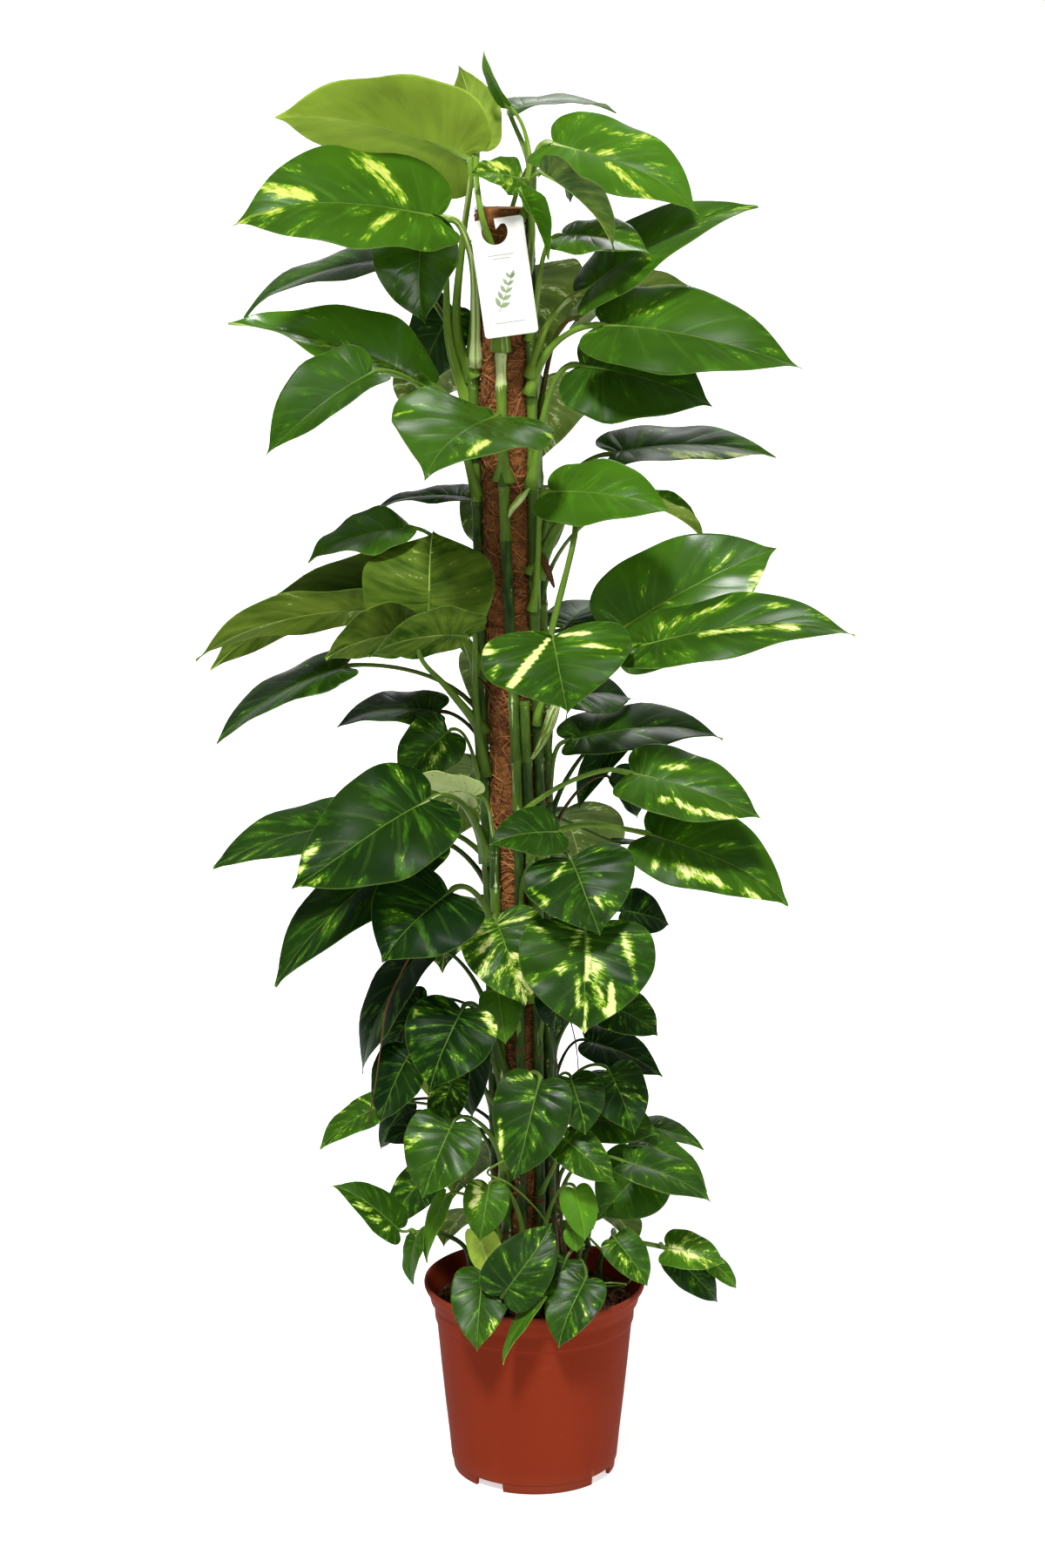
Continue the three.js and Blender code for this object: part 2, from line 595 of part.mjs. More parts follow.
function vineSolids(vine) {
  const points = [vineStem(vine, STEM_BOTTOM), vineStem(vine, SOIL_LEVEL + STEM_COLLAR)];
  for (let z = STEM_CLOSE_HEIGHT; z < vine.top - 30; z += STEM_STEP) {
    points.push(vineStem(vine, z));
  }
  points.push(vineStem(vine, vine.top));
  const radii = points.map((point, i) => (i === points.length - 1 ? STEM_RADIUS * 0.7 : STEM_RADIUS));
  const solids = [tube(points, radii, STEM_SIDES)];
  vine.leaves.forEach((row) => {
    const foot = vineStem(vine, row[1]);
    const outward = foot.clone().sub(poleAxis(row[1])).setZ(0).normalize();
    solids.push(leafAt(foot, outward, row));
  });
  return solids;
}

function shootCurve(shoot) {
  const [x, y] = shoot.foot;
  const rest = shoot.stem.map(sighted);
  return new THREE.CatmullRomCurve3([new THREE.Vector3(x, y, SOIL_LEVEL + STEM_COLLAR), ...rest]);
}

function shootSolids(shoot) {
  const curve = shootCurve(shoot);
  const [x, y] = shoot.foot;
  const points = [new THREE.Vector3(x, y, STEM_BOTTOM), ...curve.getPoints(shoot.stem.length * 2)];
  const solids = [tube(points, points.map(() => SHOOT_RADIUS), STEM_SIDES)];
  shoot.leaves.forEach((row) => {
    const foot = curve.getPoint(row[1]);
    const outward = curve.getTangent(row[1]);
    solids.push(leafAt(foot, outward, row));
  });
  return solids;
}

function makePot() {
  const inner = BASE_RADIUS - POT_WALL;
  const floor = FOOT_HEIGHT + POT_WALL;
  const padEdge = CENTRE_PAD_RADIUS + CENTRE_PAD_SLOPE;
  const profile = [
    [0, 0], [CENTRE_PAD_RADIUS, 0], [padEdge, FOOT_HEIGHT],
    [BASE_RADIUS - FOOT_WIDTH, FOOT_HEIGHT], [BASE_RADIUS - FOOT_WIDTH + 0.6, 0],
    [BASE_RADIUS - 0.6, 0], [BASE_RADIUS + 0.8, FOOT_HEIGHT], [BASE_RADIUS + 1.8, FOOT_HEIGHT + 1.2],
    [SHOULDER_RADIUS, SHOULDER_HEIGHT], [SHOULDER_RADIUS + 1.6, SHOULDER_HEIGHT + 2.5],
    [NECK_RADIUS, LIP_HEIGHT], [NECK_RADIUS + 3, LIP_HEIGHT + 2],
    [RIM_RADIUS - 3.5, POT_HEIGHT - 12], [RIM_RADIUS, POT_HEIGHT - 5],
    [RIM_RADIUS - 0.4, POT_HEIGHT - 1], [RIM_RADIUS - 3, POT_HEIGHT],
    [NECK_RADIUS - POT_WALL + 3, LIP_HEIGHT + 7], [NECK_RADIUS - POT_WALL, LIP_HEIGHT],
    [SHOULDER_RADIUS - POT_WALL, SHOULDER_HEIGHT], [inner + 0.8, floor],
    [padEdge - POT_WALL, floor], [CENTRE_PAD_RADIUS - POT_WALL, CENTRE_PAD_THICK],
    [0, CENTRE_PAD_THICK],
  ];
  let pot = solidFromGeometry(turned(profile));
  for (let i = 0; i < NOTCHES; i += 1) {
    const notch = new THREE.BoxGeometry(NOTCH_WIDTH, NOTCH_DEPTH, 2 * (FOOT_HEIGHT - 1));
    notch.translate(0, 2 - BASE_RADIUS, 0);
    notch.rotateZ(rad(FIRST_NOTCH_ANGLE + (360 / NOTCHES) * i));
    pot = pot.subtract(solidFromGeometry(notch));
  }
  for (let i = 0; i < DRAIN_HOLES; i += 1) {
    const turn = (2 * Math.PI * (i + 0.5)) / DRAIN_HOLES;
    const reach = (CENTRE_PAD_RADIUS + BASE_RADIUS) / 2;
    const x = reach * Math.cos(turn);
    const y = reach * Math.sin(turn);
    const hole = cylinder(DRAIN_RADIUS, FOOT_HEIGHT - 4, floor + 4, HOLE_SIDES, x, y);
    pot = pot.subtract(solidFromGeometry(hole));
  }
  return pot;
}

function makeSoil() {
  const gap = POT_WALL + FIT_GAP;
  const floor = FOOT_HEIGHT + gap;
  const padTop = CENTRE_PAD_THICK + FIT_GAP;
  const profile = [
    [0, padTop], [CENTRE_PAD_RADIUS - gap, padTop], [CENTRE_PAD_RADIUS + CENTRE_PAD_SLOPE - gap, floor],
    [BASE_RADIUS - gap + 0.8, floor], [SHOULDER_RADIUS - gap, SHOULDER_HEIGHT],
    [NECK_RADIUS - gap - 1, SOIL_LEVEL - 4], [84, SOIL_LEVEL + 0.5],
    [60, SOIL_LEVEL - 1], [0, SOIL_LEVEL + 1],
  ];
  const open = SOIL_LEVEL + SOIL_TOP_CLEARANCE;
  const stemHole = (radius, x, y) => (
    cylinder(radius + HOLE_GAP, STEM_BOTTOM - FIT_GAP, open, HOLE_SIDES, x, y)
  );
  const holes = [
    leaned(cylinder(CORE_RADIUS + FIT_GAP, CORE_BOTTOM - FIT_GAP, COIR_BOTTOM, POLE_SIDES)),
    leaned(cylinder(COIR_RADIUS + FIT_GAP, COIR_BOTTOM - FIT_GAP, open, POLE_SIDES)),
    ...VINES.map((vine) => vineStem(vine, STEM_BOTTOM)).map(({ x, y }) => stemHole(STEM_RADIUS, x, y)),
    ...SHOOTS.map(({ foot: [x, y] }) => stemHole(SHOOT_RADIUS, x, y)),
  ];
  let soil = solidFromGeometry(turned(profile));
  holes.forEach((hole) => {
    soil = soil.subtract(solidFromGeometry(hole));
  });
  return soil;
}

function makeCore() {
  return solidFromGeometry(
    leaned(cylinder(CORE_RADIUS, CORE_BOTTOM, POLE_TOP - COIR_CAP, POLE_SIDES)),
  );
}

function makeCoir() {
  const boreTop = POLE_TOP - COIR_CAP + FIT_GAP;
  const bore = cylinder(CORE_RADIUS + FIT_GAP, COIR_BOTTOM - 5, boreTop, POLE_SIDES);
  const sleeve = turned([
    [0, COIR_BOTTOM], [COIR_RADIUS, COIR_BOTTOM], [COIR_RADIUS, POLE_TOP - COIR_CHAMFER],
    [COIR_RADIUS - COIR_CHAMFER, POLE_TOP], [0, POLE_TOP],
  ], POLE_SIDES);
  return solidFromGeometry(leaned(sleeve)).subtract(solidFromGeometry(leaned(bore)));
}

// The card: a rounded plate with a hook-shaped opening near its top
function makeTag() {
  const x = TAG_WIDTH / 2;
  const y = TAG_HEIGHT / 2;
  const c = TAG_CORNER;
  const hookY = y - HOOK_DROP;
  const shape = new THREE.Shape();
  shape.moveTo(-x + c, -y);
  shape.lineTo(x - c, -y);
  shape.quadraticCurveTo(x, -y, x, -y + c);
  shape.lineTo(x, y - c);
  shape.quadraticCurveTo(x, y, x - c, y);
  shape.lineTo(HOOK_X + 1, y);
  shape.lineTo(HOOK_X + 1.5, hookY + 2);
  shape.lineTo(HOOK_X + 7, hookY + 7);
  shape.lineTo(HOOK_X + 11, hookY + 6);
  shape.absarc(HOOK_X, hookY, HOOK_RADIUS, rad(20), rad(-220), true);
  shape.lineTo(HOOK_X - HOOK_RADIUS, y);
  shape.lineTo(-x + c, y);
  shape.quadraticCurveTo(-x, y, -x, y - c);
  shape.lineTo(-x, -y + c);
  shape.quadraticCurveTo(-x, -y, -x + c, -y);
  const plate = { depth: TAG_THICK, bevelEnabled: false, curveSegments: 5 };
  const geometry = new THREE.ExtrudeGeometry(shape, plate);
  const mesh = meshNamed('hang_tag', geometryFrom(solidFromGeometry(geometry)), 'tag');
  mesh.rotation.set(rad(90 - TAG_LEAN), rad(TAG_TURN), 0, 'YXZ');
  mesh.position.set(...TAG_PLACE);
  return mesh;
}

const plant = new THREE.Group();
plant.name = 'potted_pothos';
plant.add(meshNamed('pot', geometryFrom(makePot()), 'pot'));
plant.add(meshNamed('soil', geometryFrom(makeSoil()), 'soil'));
plant.add(meshNamed('pole_core', geometryFrom(makeCore()), 'core'));
plant.add(meshNamed('pole_coir', geometryFrom(makeCoir()), 'coir'));
VINES.forEach((vine) => {
  plant.add(meshNamed(vine.name, geometryFrom(wasm.Manifold.union(vineSolids(vine))), 'plant'));
});
SHOOTS.forEach((shoot) => {
  plant.add(meshNamed(shoot.name, geometryFrom(wasm.Manifold.union(shootSolids(shoot))), 'plant'));
});
plant.add(makeTag());

export default plant;
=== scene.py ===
"""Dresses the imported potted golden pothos: leaves, stems, coir pole, soil, pot and hang tag."""
import random
from math import asin, cos, degrees, exp, hypot, inf, pi, radians, sin, sqrt

import bpy
import numpy as np
from mathutils import Matrix, Vector, noise


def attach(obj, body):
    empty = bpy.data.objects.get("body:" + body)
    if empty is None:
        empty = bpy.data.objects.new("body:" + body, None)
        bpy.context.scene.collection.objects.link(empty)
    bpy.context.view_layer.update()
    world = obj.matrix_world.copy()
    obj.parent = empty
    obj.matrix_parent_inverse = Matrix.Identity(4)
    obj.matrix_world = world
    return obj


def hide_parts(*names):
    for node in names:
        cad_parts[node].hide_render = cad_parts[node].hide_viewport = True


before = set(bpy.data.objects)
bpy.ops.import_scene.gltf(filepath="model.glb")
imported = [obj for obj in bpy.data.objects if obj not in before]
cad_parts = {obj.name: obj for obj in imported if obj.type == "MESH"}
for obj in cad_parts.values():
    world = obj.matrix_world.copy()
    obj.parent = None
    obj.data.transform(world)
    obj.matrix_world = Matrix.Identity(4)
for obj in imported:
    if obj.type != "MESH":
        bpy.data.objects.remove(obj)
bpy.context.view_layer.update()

MM = 0.001

# Pot, soil and pole, in millimetres as in the part's source
POT_HEIGHT = 214
RIM_RADIUS = 120
NECK_RADIUS = 110
SHOULDER_RADIUS = 106.5
BASE_RADIUS = 89
POT_WALL = 2.2
SHOULDER_HEIGHT = 170
LIP_HEIGHT = 190
FOOT_HEIGHT = 11
FOOT_WIDTH = 5
CENTRE_PAD_RADIUS = 36
CENTRE_PAD_SLOPE = 4
CENTRE_PAD_THICK = 2.6
POT_TURN_STEP = 2.25
NOTCHES = 4
NOTCH_WIDTH = 34
FIRST_NOTCH_ANGLE = -34
DRAIN_HOLES = 6
DRAIN_RADIUS = 5
SOIL_LEVEL = 190
SOIL_GAP = POT_WALL + 0.4
SOIL_SIDES = 120
CRUMBS = 2300
CRUMB_SEED = 9
CRUMB_REACH = 106
COIR_RADIUS = 27.5
COIR_BOTTOM = 120
COIR_SIDES = 96
FIBRES = 4300
FIBRE_SEED = 77
FIBRE_POINTS = 6
POLE_TOP = 1364
POLE_LEAN_X = -34 / POLE_TOP

# The photograph's eye and view. Leaf places are given where they are seen in the pole's plane
EYE = Vector((-13, -3500, 1560))
CAMERA_TILT = 77.2
CAMERA_LENS = 78.3
CAMERA_SENSOR = 36

# Each lamp: name, azimuth (0 is the front, 90 the right), elevation, strength and softness
SUNS = (
    ("key", -14, 54, 3.9, 9),
    ("fill", 30, 22, 0.8, 30),
    ("rim", 170, 40, 0.8, 24),
)

# Plant
BLADE = 0.7
LEAF_VEINS = 9
QUILT = 0.36
FOLD = 0.26
CURL = 0.2
ARCH = 0.07
OWN_ARCH = {"L11": -0.2}
LOBE_DROOP = 0.5
USUAL_GLOSS = 0.08
STEM_RADIUS = 5.4
STEM_FOOT_RADIUS = 44
STEM_CLOSE_HEIGHT = 300
STEM_BOTTOM = 150
STEM_COLLAR = 9
STEM_STEP = 130
STEM_SWAY = 5
STEM_SIDES = 12
STEM_TO_COIR = 0.8
VINE_AGE = 0.62
SHOOT_RADIUS = 2.6
SHOOT_MARKS = 0.4
SHOOT_AGE = 0.3
PETIOLE_RISE = 0.5
PETIOLE_SIDES = 10
PETIOLE_END = 4
NECK_BACK = 3
HEEL_DEPTH = 1.2

# How far along a vine's stem its new end begins, which is nearly white
WHITE_FROM = {"vine_front": 1035}

# Hang tag, and the hook cut from its top
TAG_WIDTH = 54
TAG_HEIGHT = 117
TAG_THICK = 0.9
TAG_CORNER = 4
TAG_PLACE = Vector((-31.6, -64, 1299))
TAG_TURN = -8
TAG_LEAN = 3
HOOK_X = -3
HOOK_DROP = 13
HOOK_RADIUS = 13
INK = 0.06

# Each vine: name, angle round the pole, height of its top, and its leaves. Each leaf: name, height
# of its node on the stem, heel (x, z, y), tip (x, z, y), width, the azimuth and elevation that its
# upper face looks to, how much of it is cream or yellow (0 to 1), how bright its green is (-1 to 1),
# which is partly painted light and shade, lighter for leaves lit through and darker for shaded ones,
# and how glossy it is, the points that its petiole passes, and the petiole's thickness
VINES = [
    ("vine_left", -85, 1215, [
        ("L01", 1190, (-71, 1415, -22), (-262, 1458, -45), 152, (172, 45), (0, 0.58, 0),
         [(-80, 1235, 8), (-74, 1330, -8), (-66, 1388, -30)], 1.85),
        ("L02", 1208, (-98, 1354, -60), (-305, 1355, -110), 164, (-5, 50), (0.2, 0.2),
         [(-62, 1262, -24), (-66, 1318, -48), (-80, 1350, -58)]),
        ("L04", 1145, (-116, 1337, -22), (-113, 1247, -50), 92, (-15, 22), (0, 0.1, 0.7),
         [(-88, 1230, 12), (-94, 1315, 2)]),
        ("L05", 1110, (-120, 1190, -16), (-313, 1251, 0), 92, (-20, 62), (0.1, 0.45, 0.75)),
        ("L06", 1070, (-169, 1196, -100), (-279, 1114, -135), 84, (-20, 42), (0, 0, 0.2)),
        ("L09", 985, (-72, 1069, 20), (-172, 1054, 34), 66, (-20, 84), (0.1, -0.8)),
        ("L10", 930, (-136, 1036, -20), (-236, 1003, -42), 80, (-10, 70), (0, 0.1)),
        ("L11", 875, (-110, 945, -84), (-103, 1042, -12), 132, (176, 14), (0.05, -0.4, 0)),
        ("L13", 822, (-130, 928, -90), (-227, 895, -116), 96, (180, 48), (0, -0.4, 0),
         [(-92, 868, -28), (-120, 902, -86)]),
        ("L14", 775, (-72, 925, -100), (-187, 898, -165), 100, (172, 48), (0, -0.5, 0)),
        ("L35", 735, (-91, 821, 0), (-141, 765, -8), 68, (-20, 28), (0.2, -0.3)),
        ("L37", 680, (-112, 747, -95), (-258, 651, -150), 126, (-12, 40), (0.1, -0.5, 0)),
        ("L53", 500, (-120, 584, -20), (-189, 447, -30), 78, (-60, 30), (0.05, -0.7)),
        ("L59", 400, (-134, 468, -40), (-166, 392, -52), 64, (-30, 30), (0.1, -0.5)),
        ("L60", 345, (-163, 411, -15), (-233, 363, -25), 48, (-10, 66), (0.3, 0)),
        ("L79", 262, (-117, 331, 0), (-157, 273, -6), 50, (-25, 35), (0.25, -0.4)),
    ]),
    ("vine_front", -4, 1238, [
        ("L16b", 1222, (-60, 1423, -14), (-76, 1504, 22), 62, (170, 20), (0, 0.2),
         [(-37, 1290, -46), (-47, 1332, -57), (-54, 1354, -71), (-60, 1394, -50)], 1.76),
        ("L08", 1090, (-43, 1151, -84), (-114, 1093, -205), 158, (0, 62), (0.1, 0.1, 0.3)),
        ("L45", 715, (104, 776, -62), (239, 728, -100), 92, (5, 52), (0.2, 0, 0.15),
         [(-16, 729, -54), (28, 763, -68), (76, 780, -64)]),
        ("L44", 640, (24, 713, -90), (-48, 700, -112), 62, (0, 50), (0, -0.3)),
        ("L41", 560, (-41, 616, -90), (-10, 522, -125), 90, (0, 28), (0.5, 0)),
        ("L57", 490, (-39, 536, -72), (-31, 479, -88), 44, (0, 30), (0, 0.5)),
        ("L64", 425, (5, 436, -100), (-23, 326, -130), 80, (-5, 28), (0.08, -0.2, 0.14)),
        ("L67", 345, (4, 392, -52), (-2, 345, -60), 38, (0, 25), (0.1, -0.2)),
        ("L81", 268, (-49, 319, -80), (-60, 256, -100), 48, (0, 25), (0.15, 0.1)),
    ]),
    ("vine_front_left", -44, 722, [
        ("L36", 700, (-63, 752, -48), (-132, 771, -54), 62, (175, 55), (1, 0.3)),
        ("L40", 590, (-91, 647, -100), (-163, 569, -150), 114, (-10, 38), (0.05, -0.6, 0)),
        ("L55", 455, (-78, 517, -92), (-113, 428, -125), 94, (-8, 34), (0.15, -0.5, 0)),
        ("L63", 420, (-64, 478, -46), (-68, 395, -48), 46, (-30, 25), (0, -0.6)),
        ("L62b", 385, (-88, 439, -55), (-107, 380, -62), 45, (-20, 30), (0.3, -0.3)),
        ("L62", 335, (-88, 390, -92), (-122, 306, -122), 80, (-8, 34), (0.15, -0.15, 0.16)),
        ("L80", 250, (-96, 306, -66), (-118, 231, -72), 34, (-60, 30), (0, 0.5)),
    ]),
    ("vine_right", 48, 1392, [
        ("L16", 1385, (-31, 1468, -30), (-53, 1518, -32), 20, (-60, 10), (0.1, 0.9, 0.45)),
        ("L17", 1378, (-24, 1462, 12), (82, 1461, 70), 74, (10, 84), (0.1, -0.2, 0.35),
         [(-6, 1408, 2), (-22, 1448, 10)]),
        ("L18", 1355, (19, 1427, -30), (166, 1362, -85), 100, (12, 44), (0.1, 0.4)),
        ("L15", 1338, (-16, 1393, -60), (-66, 1397, -78), 48, (0, 48), (0.45, 0.2)),
        ("L21", 1318, (-14, 1378, -92), (14, 1312, -106), 38, (20, 20), (0.2, 0.3)),
        ("L20b", 1300, (8, 1398, -100), (84, 1324, -138), 52, (200, 62), (0, -0.5, 0.6),
         [(-2, 1340, -60), (-4, 1392, -90)]),
        ("L20a", 1232, (29, 1336, -50), (117, 1319, -92), 74, (5, 62), (0.1, 0.2, 0.5)),
        ("L22", 1195, (54, 1282, -35), (223, 1370, -60), 100, (0, 62), (0.1, 0.1, 0.1)),
        ("L24", 1178, (72, 1245, -62), (273, 1207, -120), 112, (4, 45), (0.05, 0.05)),
        ("L25", 1082, (48, 1204, -20), (182, 1163, -50), 116, (0, 40), (0, -0.1)),
        ("L32", 990, (18, 922, -112), (34, 843, -160), 150, (0, 30), (0.1, -0.1, 0),
         [(26, 1042, -30), (42, 1040, -84)]),
        ("L27", 955, (18, 1074, -62), (142, 1055, -105), 92, (0, 52), (0, 0.35)),
        ("L30", 835, (112, 913, -92), (333, 928, -145), 84, (0, 50), (0.15, -0.08, 0.2)),
        ("L46", 690, (122, 710, -40), (271, 636, -70), 104, (8, 45), (0.15, 0.05, 0.05)),
    ]),
    ("vine_front_right", 23, 860, [
        ("L42", 610, (38, 684, -105), (70, 602, -155), 114, (5, 34), (0.12, -0.35)),
        ("L43", 535, (54, 607, -115), (53, 491, -160), 138, (2, 26), (0.2, -0.15, 0.05)),
        ("L76", 480, (24, 546, -60), (21, 492, -66), 46, (10, 20), (0, -0.7)),
        ("L65", 385, (39, 441, -80), (55, 377, -105), 60, (8, 28), (0.15, -0.3)),
        ("L68", 320, (32, 372, -90), (87, 324, -115), 50, (10, 40), (0.25, -0.1),
         [(24, 348, -54), (30, 368, -76)]),
        ("L88", 262, (44, 315, -88), (55, 256, -100), 38, (5, 30), (0, 0.6)),
    ]),
    ("vine_right_back", 112, 1150, [
        ("L23", 1135, (45, 1255, 30), (156, 1291, 55), 82, (170, 62), (0, -0.2)),
        ("L26", 1020, (81, 1114, 20), (249, 1113, 45), 90, (0, 72), (0.1, -0.3, 0.1)),
        ("L28", 960, (113, 1062, 5), (176, 1024, 15), 46, (70, 70), (0.3, 0.2)),
        ("L29", 850, (88, 929, -30), (250, 1019, -20), 126, (0, 34), (0.1, 0.2, 0.5)),
        ("L47", 790, (34, 858, 25), (101, 858, 60), 80, (0, 64), (0, -0.4, 0.15)),
        ("L48", 745, (40, 812, 5), (198, 818, 25), 90, (0, 70), (0.1, -0.35, 0.15)),
        ("L49", 715, (106, 834, 70), (44, 737, 66), 46, (-30, 12), (0.05, -0.5)),
        ("L50", 690, (79, 771, 35), (109, 728, 50), 54, (30, 40), (0.1, -0.6)),
        ("L52", 560, (93, 627, 20), (144, 613, 35), 58, (10, 50), (0, -0.5)),
        ("L75", 455, (80, 522, -20), (132, 489, -40), 58, (15, 45), (0.15, -0.3)),
        ("L74", 420, (57, 483, 20), (138, 443, 20), 60, (10, 60), (0.1, -0.7)),
        ("L66", 385, (80, 449, -50), (109, 378, -80), 66, (20, 34), (0.15, -0.3)),
        ("L69", 345, (58, 395, -22), (134, 377, -45), 60, (5, 50), (0.1, -0.1)),
        ("L70", 325, (118, 387, 10), (183, 361, 8), 42, (20, 74), (0.2, -0.2)),
        ("L71", 305, (114, 372, -32), (189, 315, -42), 46, (20, 60), (0.1, 0, 0.35)),
        ("L72", 285, (100, 346, -76), (191, 301, -98), 56, (10, 62), (0.1, -0.3, 0.25)),
        ("L73", 265, (119, 342, -22), (70, 284, -42), 82, (0, 22), (0.05, -0.1),
         [(84, 292, 30), (130, 356, 8)], 1.3),
    ]),
    ("vine_back", 178, 1325, [
        ("L19", 1310, (22, 1421, 35), (35, 1369, 48), 62, (70, 12), (0, 0.1)),
        ("K02", 1205, (-12, 1300, 90), (10, 1215, 195), 118, (180, 35)),
        ("K18", 1090, (4, 1190, 92), (0, 1100, 205), 114, (174, 32)),
        ("K05", 985, (-25, 1075, 92), (-10, 975, 200), 116, (182, 35)),
        ("L31", 880, (31, 932, 62), (69, 959, 140), 84, (160, 62), (0, -0.4)),
        ("K17", 820, (-20, 905, 95), (-45, 825, 215), 114, (180, 34)),
        ("K09", 640, (30, 735, 85), (60, 650, 190), 118, (170, 35)),
        ("L51", 700, (91, 702, 75), (129, 696, 110), 36, (150, 70), (0, -0.4)),
        ("K10", 560, (-60, 640, 85), (-100, 565, 185), 108, (195, 35)),
        ("K20", 450, (-12, 540, 92), (0, 455, 195), 98, (180, 34)),
        ("K12", 400, (-70, 478, 80), (-108, 410, 160), 86, (200, 34)),
        ("K13", 350, (45, 430, 82), (80, 372, 165), 84, (165, 34)),
        ("K22", 290, (-8, 365, 80), (-20, 300, 150), 76, (180, 34)),
    ]),
    ("vine_left_back", -138, 1180, [
        ("L03", 1165, (-149, 1312, 20), (-301, 1260, 45), 86, (-5, 74), (0.1, -0.2, 0.5),
         [(-78, 1225, 34), (-118, 1290, 32)]),
        ("L07", 1140, (-84, 1262, 60), (-120, 1181, 82), 74, (-25, 22), (0, -0.6),
         [(-62, 1200, 62), (-70, 1256, 70)]),
        ("K01", 1100, (-84, 1205, 106), (-126, 1150, 165), 92, (205, 35)),
        ("K06", 895, (-80, 985, 82), (-130, 905, 190), 122, (195, 35)),
        ("L12a", 855, (-122, 985, 22), (-341, 893, 26), 112, (176, 52), (0.05, -0.2, 0)),
        ("L12b", 830, (-166, 952, -14), (-355, 901, -12), 92, (180, 55), (0.1, -0.2, 0)),
        ("L33", 790, (-200, 890, 28), (-335, 809, 38), 84, (0, 74), (0, -0.3, 0.7)),
        ("L34", 755, (-102, 843, 52), (-209, 831, 70), 78, (-5, 74), (0.05, -0.6, 0.4)),
        ("K08", 690, (-62, 790, 90), (-92, 700, 195), 116, (190, 35)),
        ("L38", 630, (-174, 722, -22), (-341, 674, -25), 92, (0, 66), (0.15, -0.35, 0.15)),
        ("L39", 590, (-118, 700, 5), (-282, 547, -15), 104, (-20, 58), (0.1, -0.4)),
        ("L54", 460, (-118, 527, 22), (-164, 453, 30), 60, (-40, 34), (0.1, -0.7)),
        ("L61b", 350, (-135, 414, 44), (-168, 361, 54), 42, (-30, 44), (0.05, -0.7)),
        ("L61", 335, (-114, 388, 8), (-163, 369, 5), 46, (-10, 62), (0, -0.7)),
        ("K14", 290, (-52, 370, 78), (-90, 308, 150), 78, (195, 35)),
    ]),
]

# Each shoot: name, foot (x, y), the points (x, z, y) of its stem, and its leaves, whose second number
# is the share along the stem where the petiole starts
SHOOTS = [
    ("shoot_left", (-72, -22), [(-74, 246, -28), (-100, 264, -40), (-136, 266, -46)], [
        ("L77", 0.96, (-148, 270, -50), (-218, 320, -68), 48, (-30, 52), (0.1, -0.2)),
        ("L78", 0.72, (-128, 260, -60), (-134, 206, -76), 36, (-60, 24), (0, -0.2)),
    ]),
    ("shoot_front_left", (-46, -58), [(-50, 222, -64), (-52, 248, -68)], [
        ("L82", 0.95, (-62, 266, -76), (-44, 196, -94), 42, (160, 24), (0, 0.4)),
        ("L84", 0.35, (-56, 219, -97), (-63, 129, -146), 62, (-8, 26), (0.1, -0.2, 0.14)),
    ]),
    ("shoot_front", (-6, -74), [(-6, 214, -78), (-4, 226, -80)], [
        ("L83", 0.9, (-34, 194, -130), (19, 277, -98), 68, (-4, 14), (0.16, -0.45)),
        ("L85", 0.6, (6, 188, -126), (-35, 113, -148), 30, (-70, 40), (0.1, 0.2)),
    ]),
    ("shoot_front_right", (44, -62), [(46, 222, -66), (50, 252, -70)], [
        ("L86", 0.92, (34, 234, -84), (17, 181, -104), 54, (-8, 34), (0.05, -0.4)),
        ("L87", 0.5, (55, 211, -110), (26, 133, -143), 58, (-12, 30), (0.1, -0.3, 0.14)),
        ("L89", 0.98, (42, 269, -82), (46, 243, -86), 22, (0, 24), (0, 0.7)),
    ]),
    ("shoot_right", (72, -12), [(72, 236, -20), (86, 258, -30), (116, 254, -34), (140, 249, -34),
     (186, 236, -26)], [
        ("L90", 0.4, (88, 258, -62), (123, 204, -84), 44, (15, 34), (0.15, -0.1)),
        ("L91", 0.78, (144, 248, -48), (207, 231, -62), 50, (5, 54), (0.35, 0.2)),
        ("L92", 0.82, (148, 240, -22), (202, 186, -14), 46, (10, 44), (0.05, -0.5)),
        ("L93", 0.97, (191, 233, -16), (221, 202, -12), 24, (20, 44), (0.2, 0.1)),
    ]),
    ("shoot_back_left", (-50, 56), [(-54, 244, 62), (-58, 272, 70)], [
        ("K30", 0.95, (-72, 292, 88), (-100, 252, 126), 52, (205, 40)),
        ("K31", 0.6, (-36, 276, 96), (-30, 240, 146), 48, (180, 38)),
    ]),
    ("shoot_back_right", (52, 54), [(56, 244, 60), (60, 274, 68)], [
        ("K32", 0.95, (76, 294, 84), (112, 254, 120), 54, (155, 40)),
        ("K33", 0.6, (38, 278, 94), (30, 242, 146), 48, (180, 38)),
    ]),
]

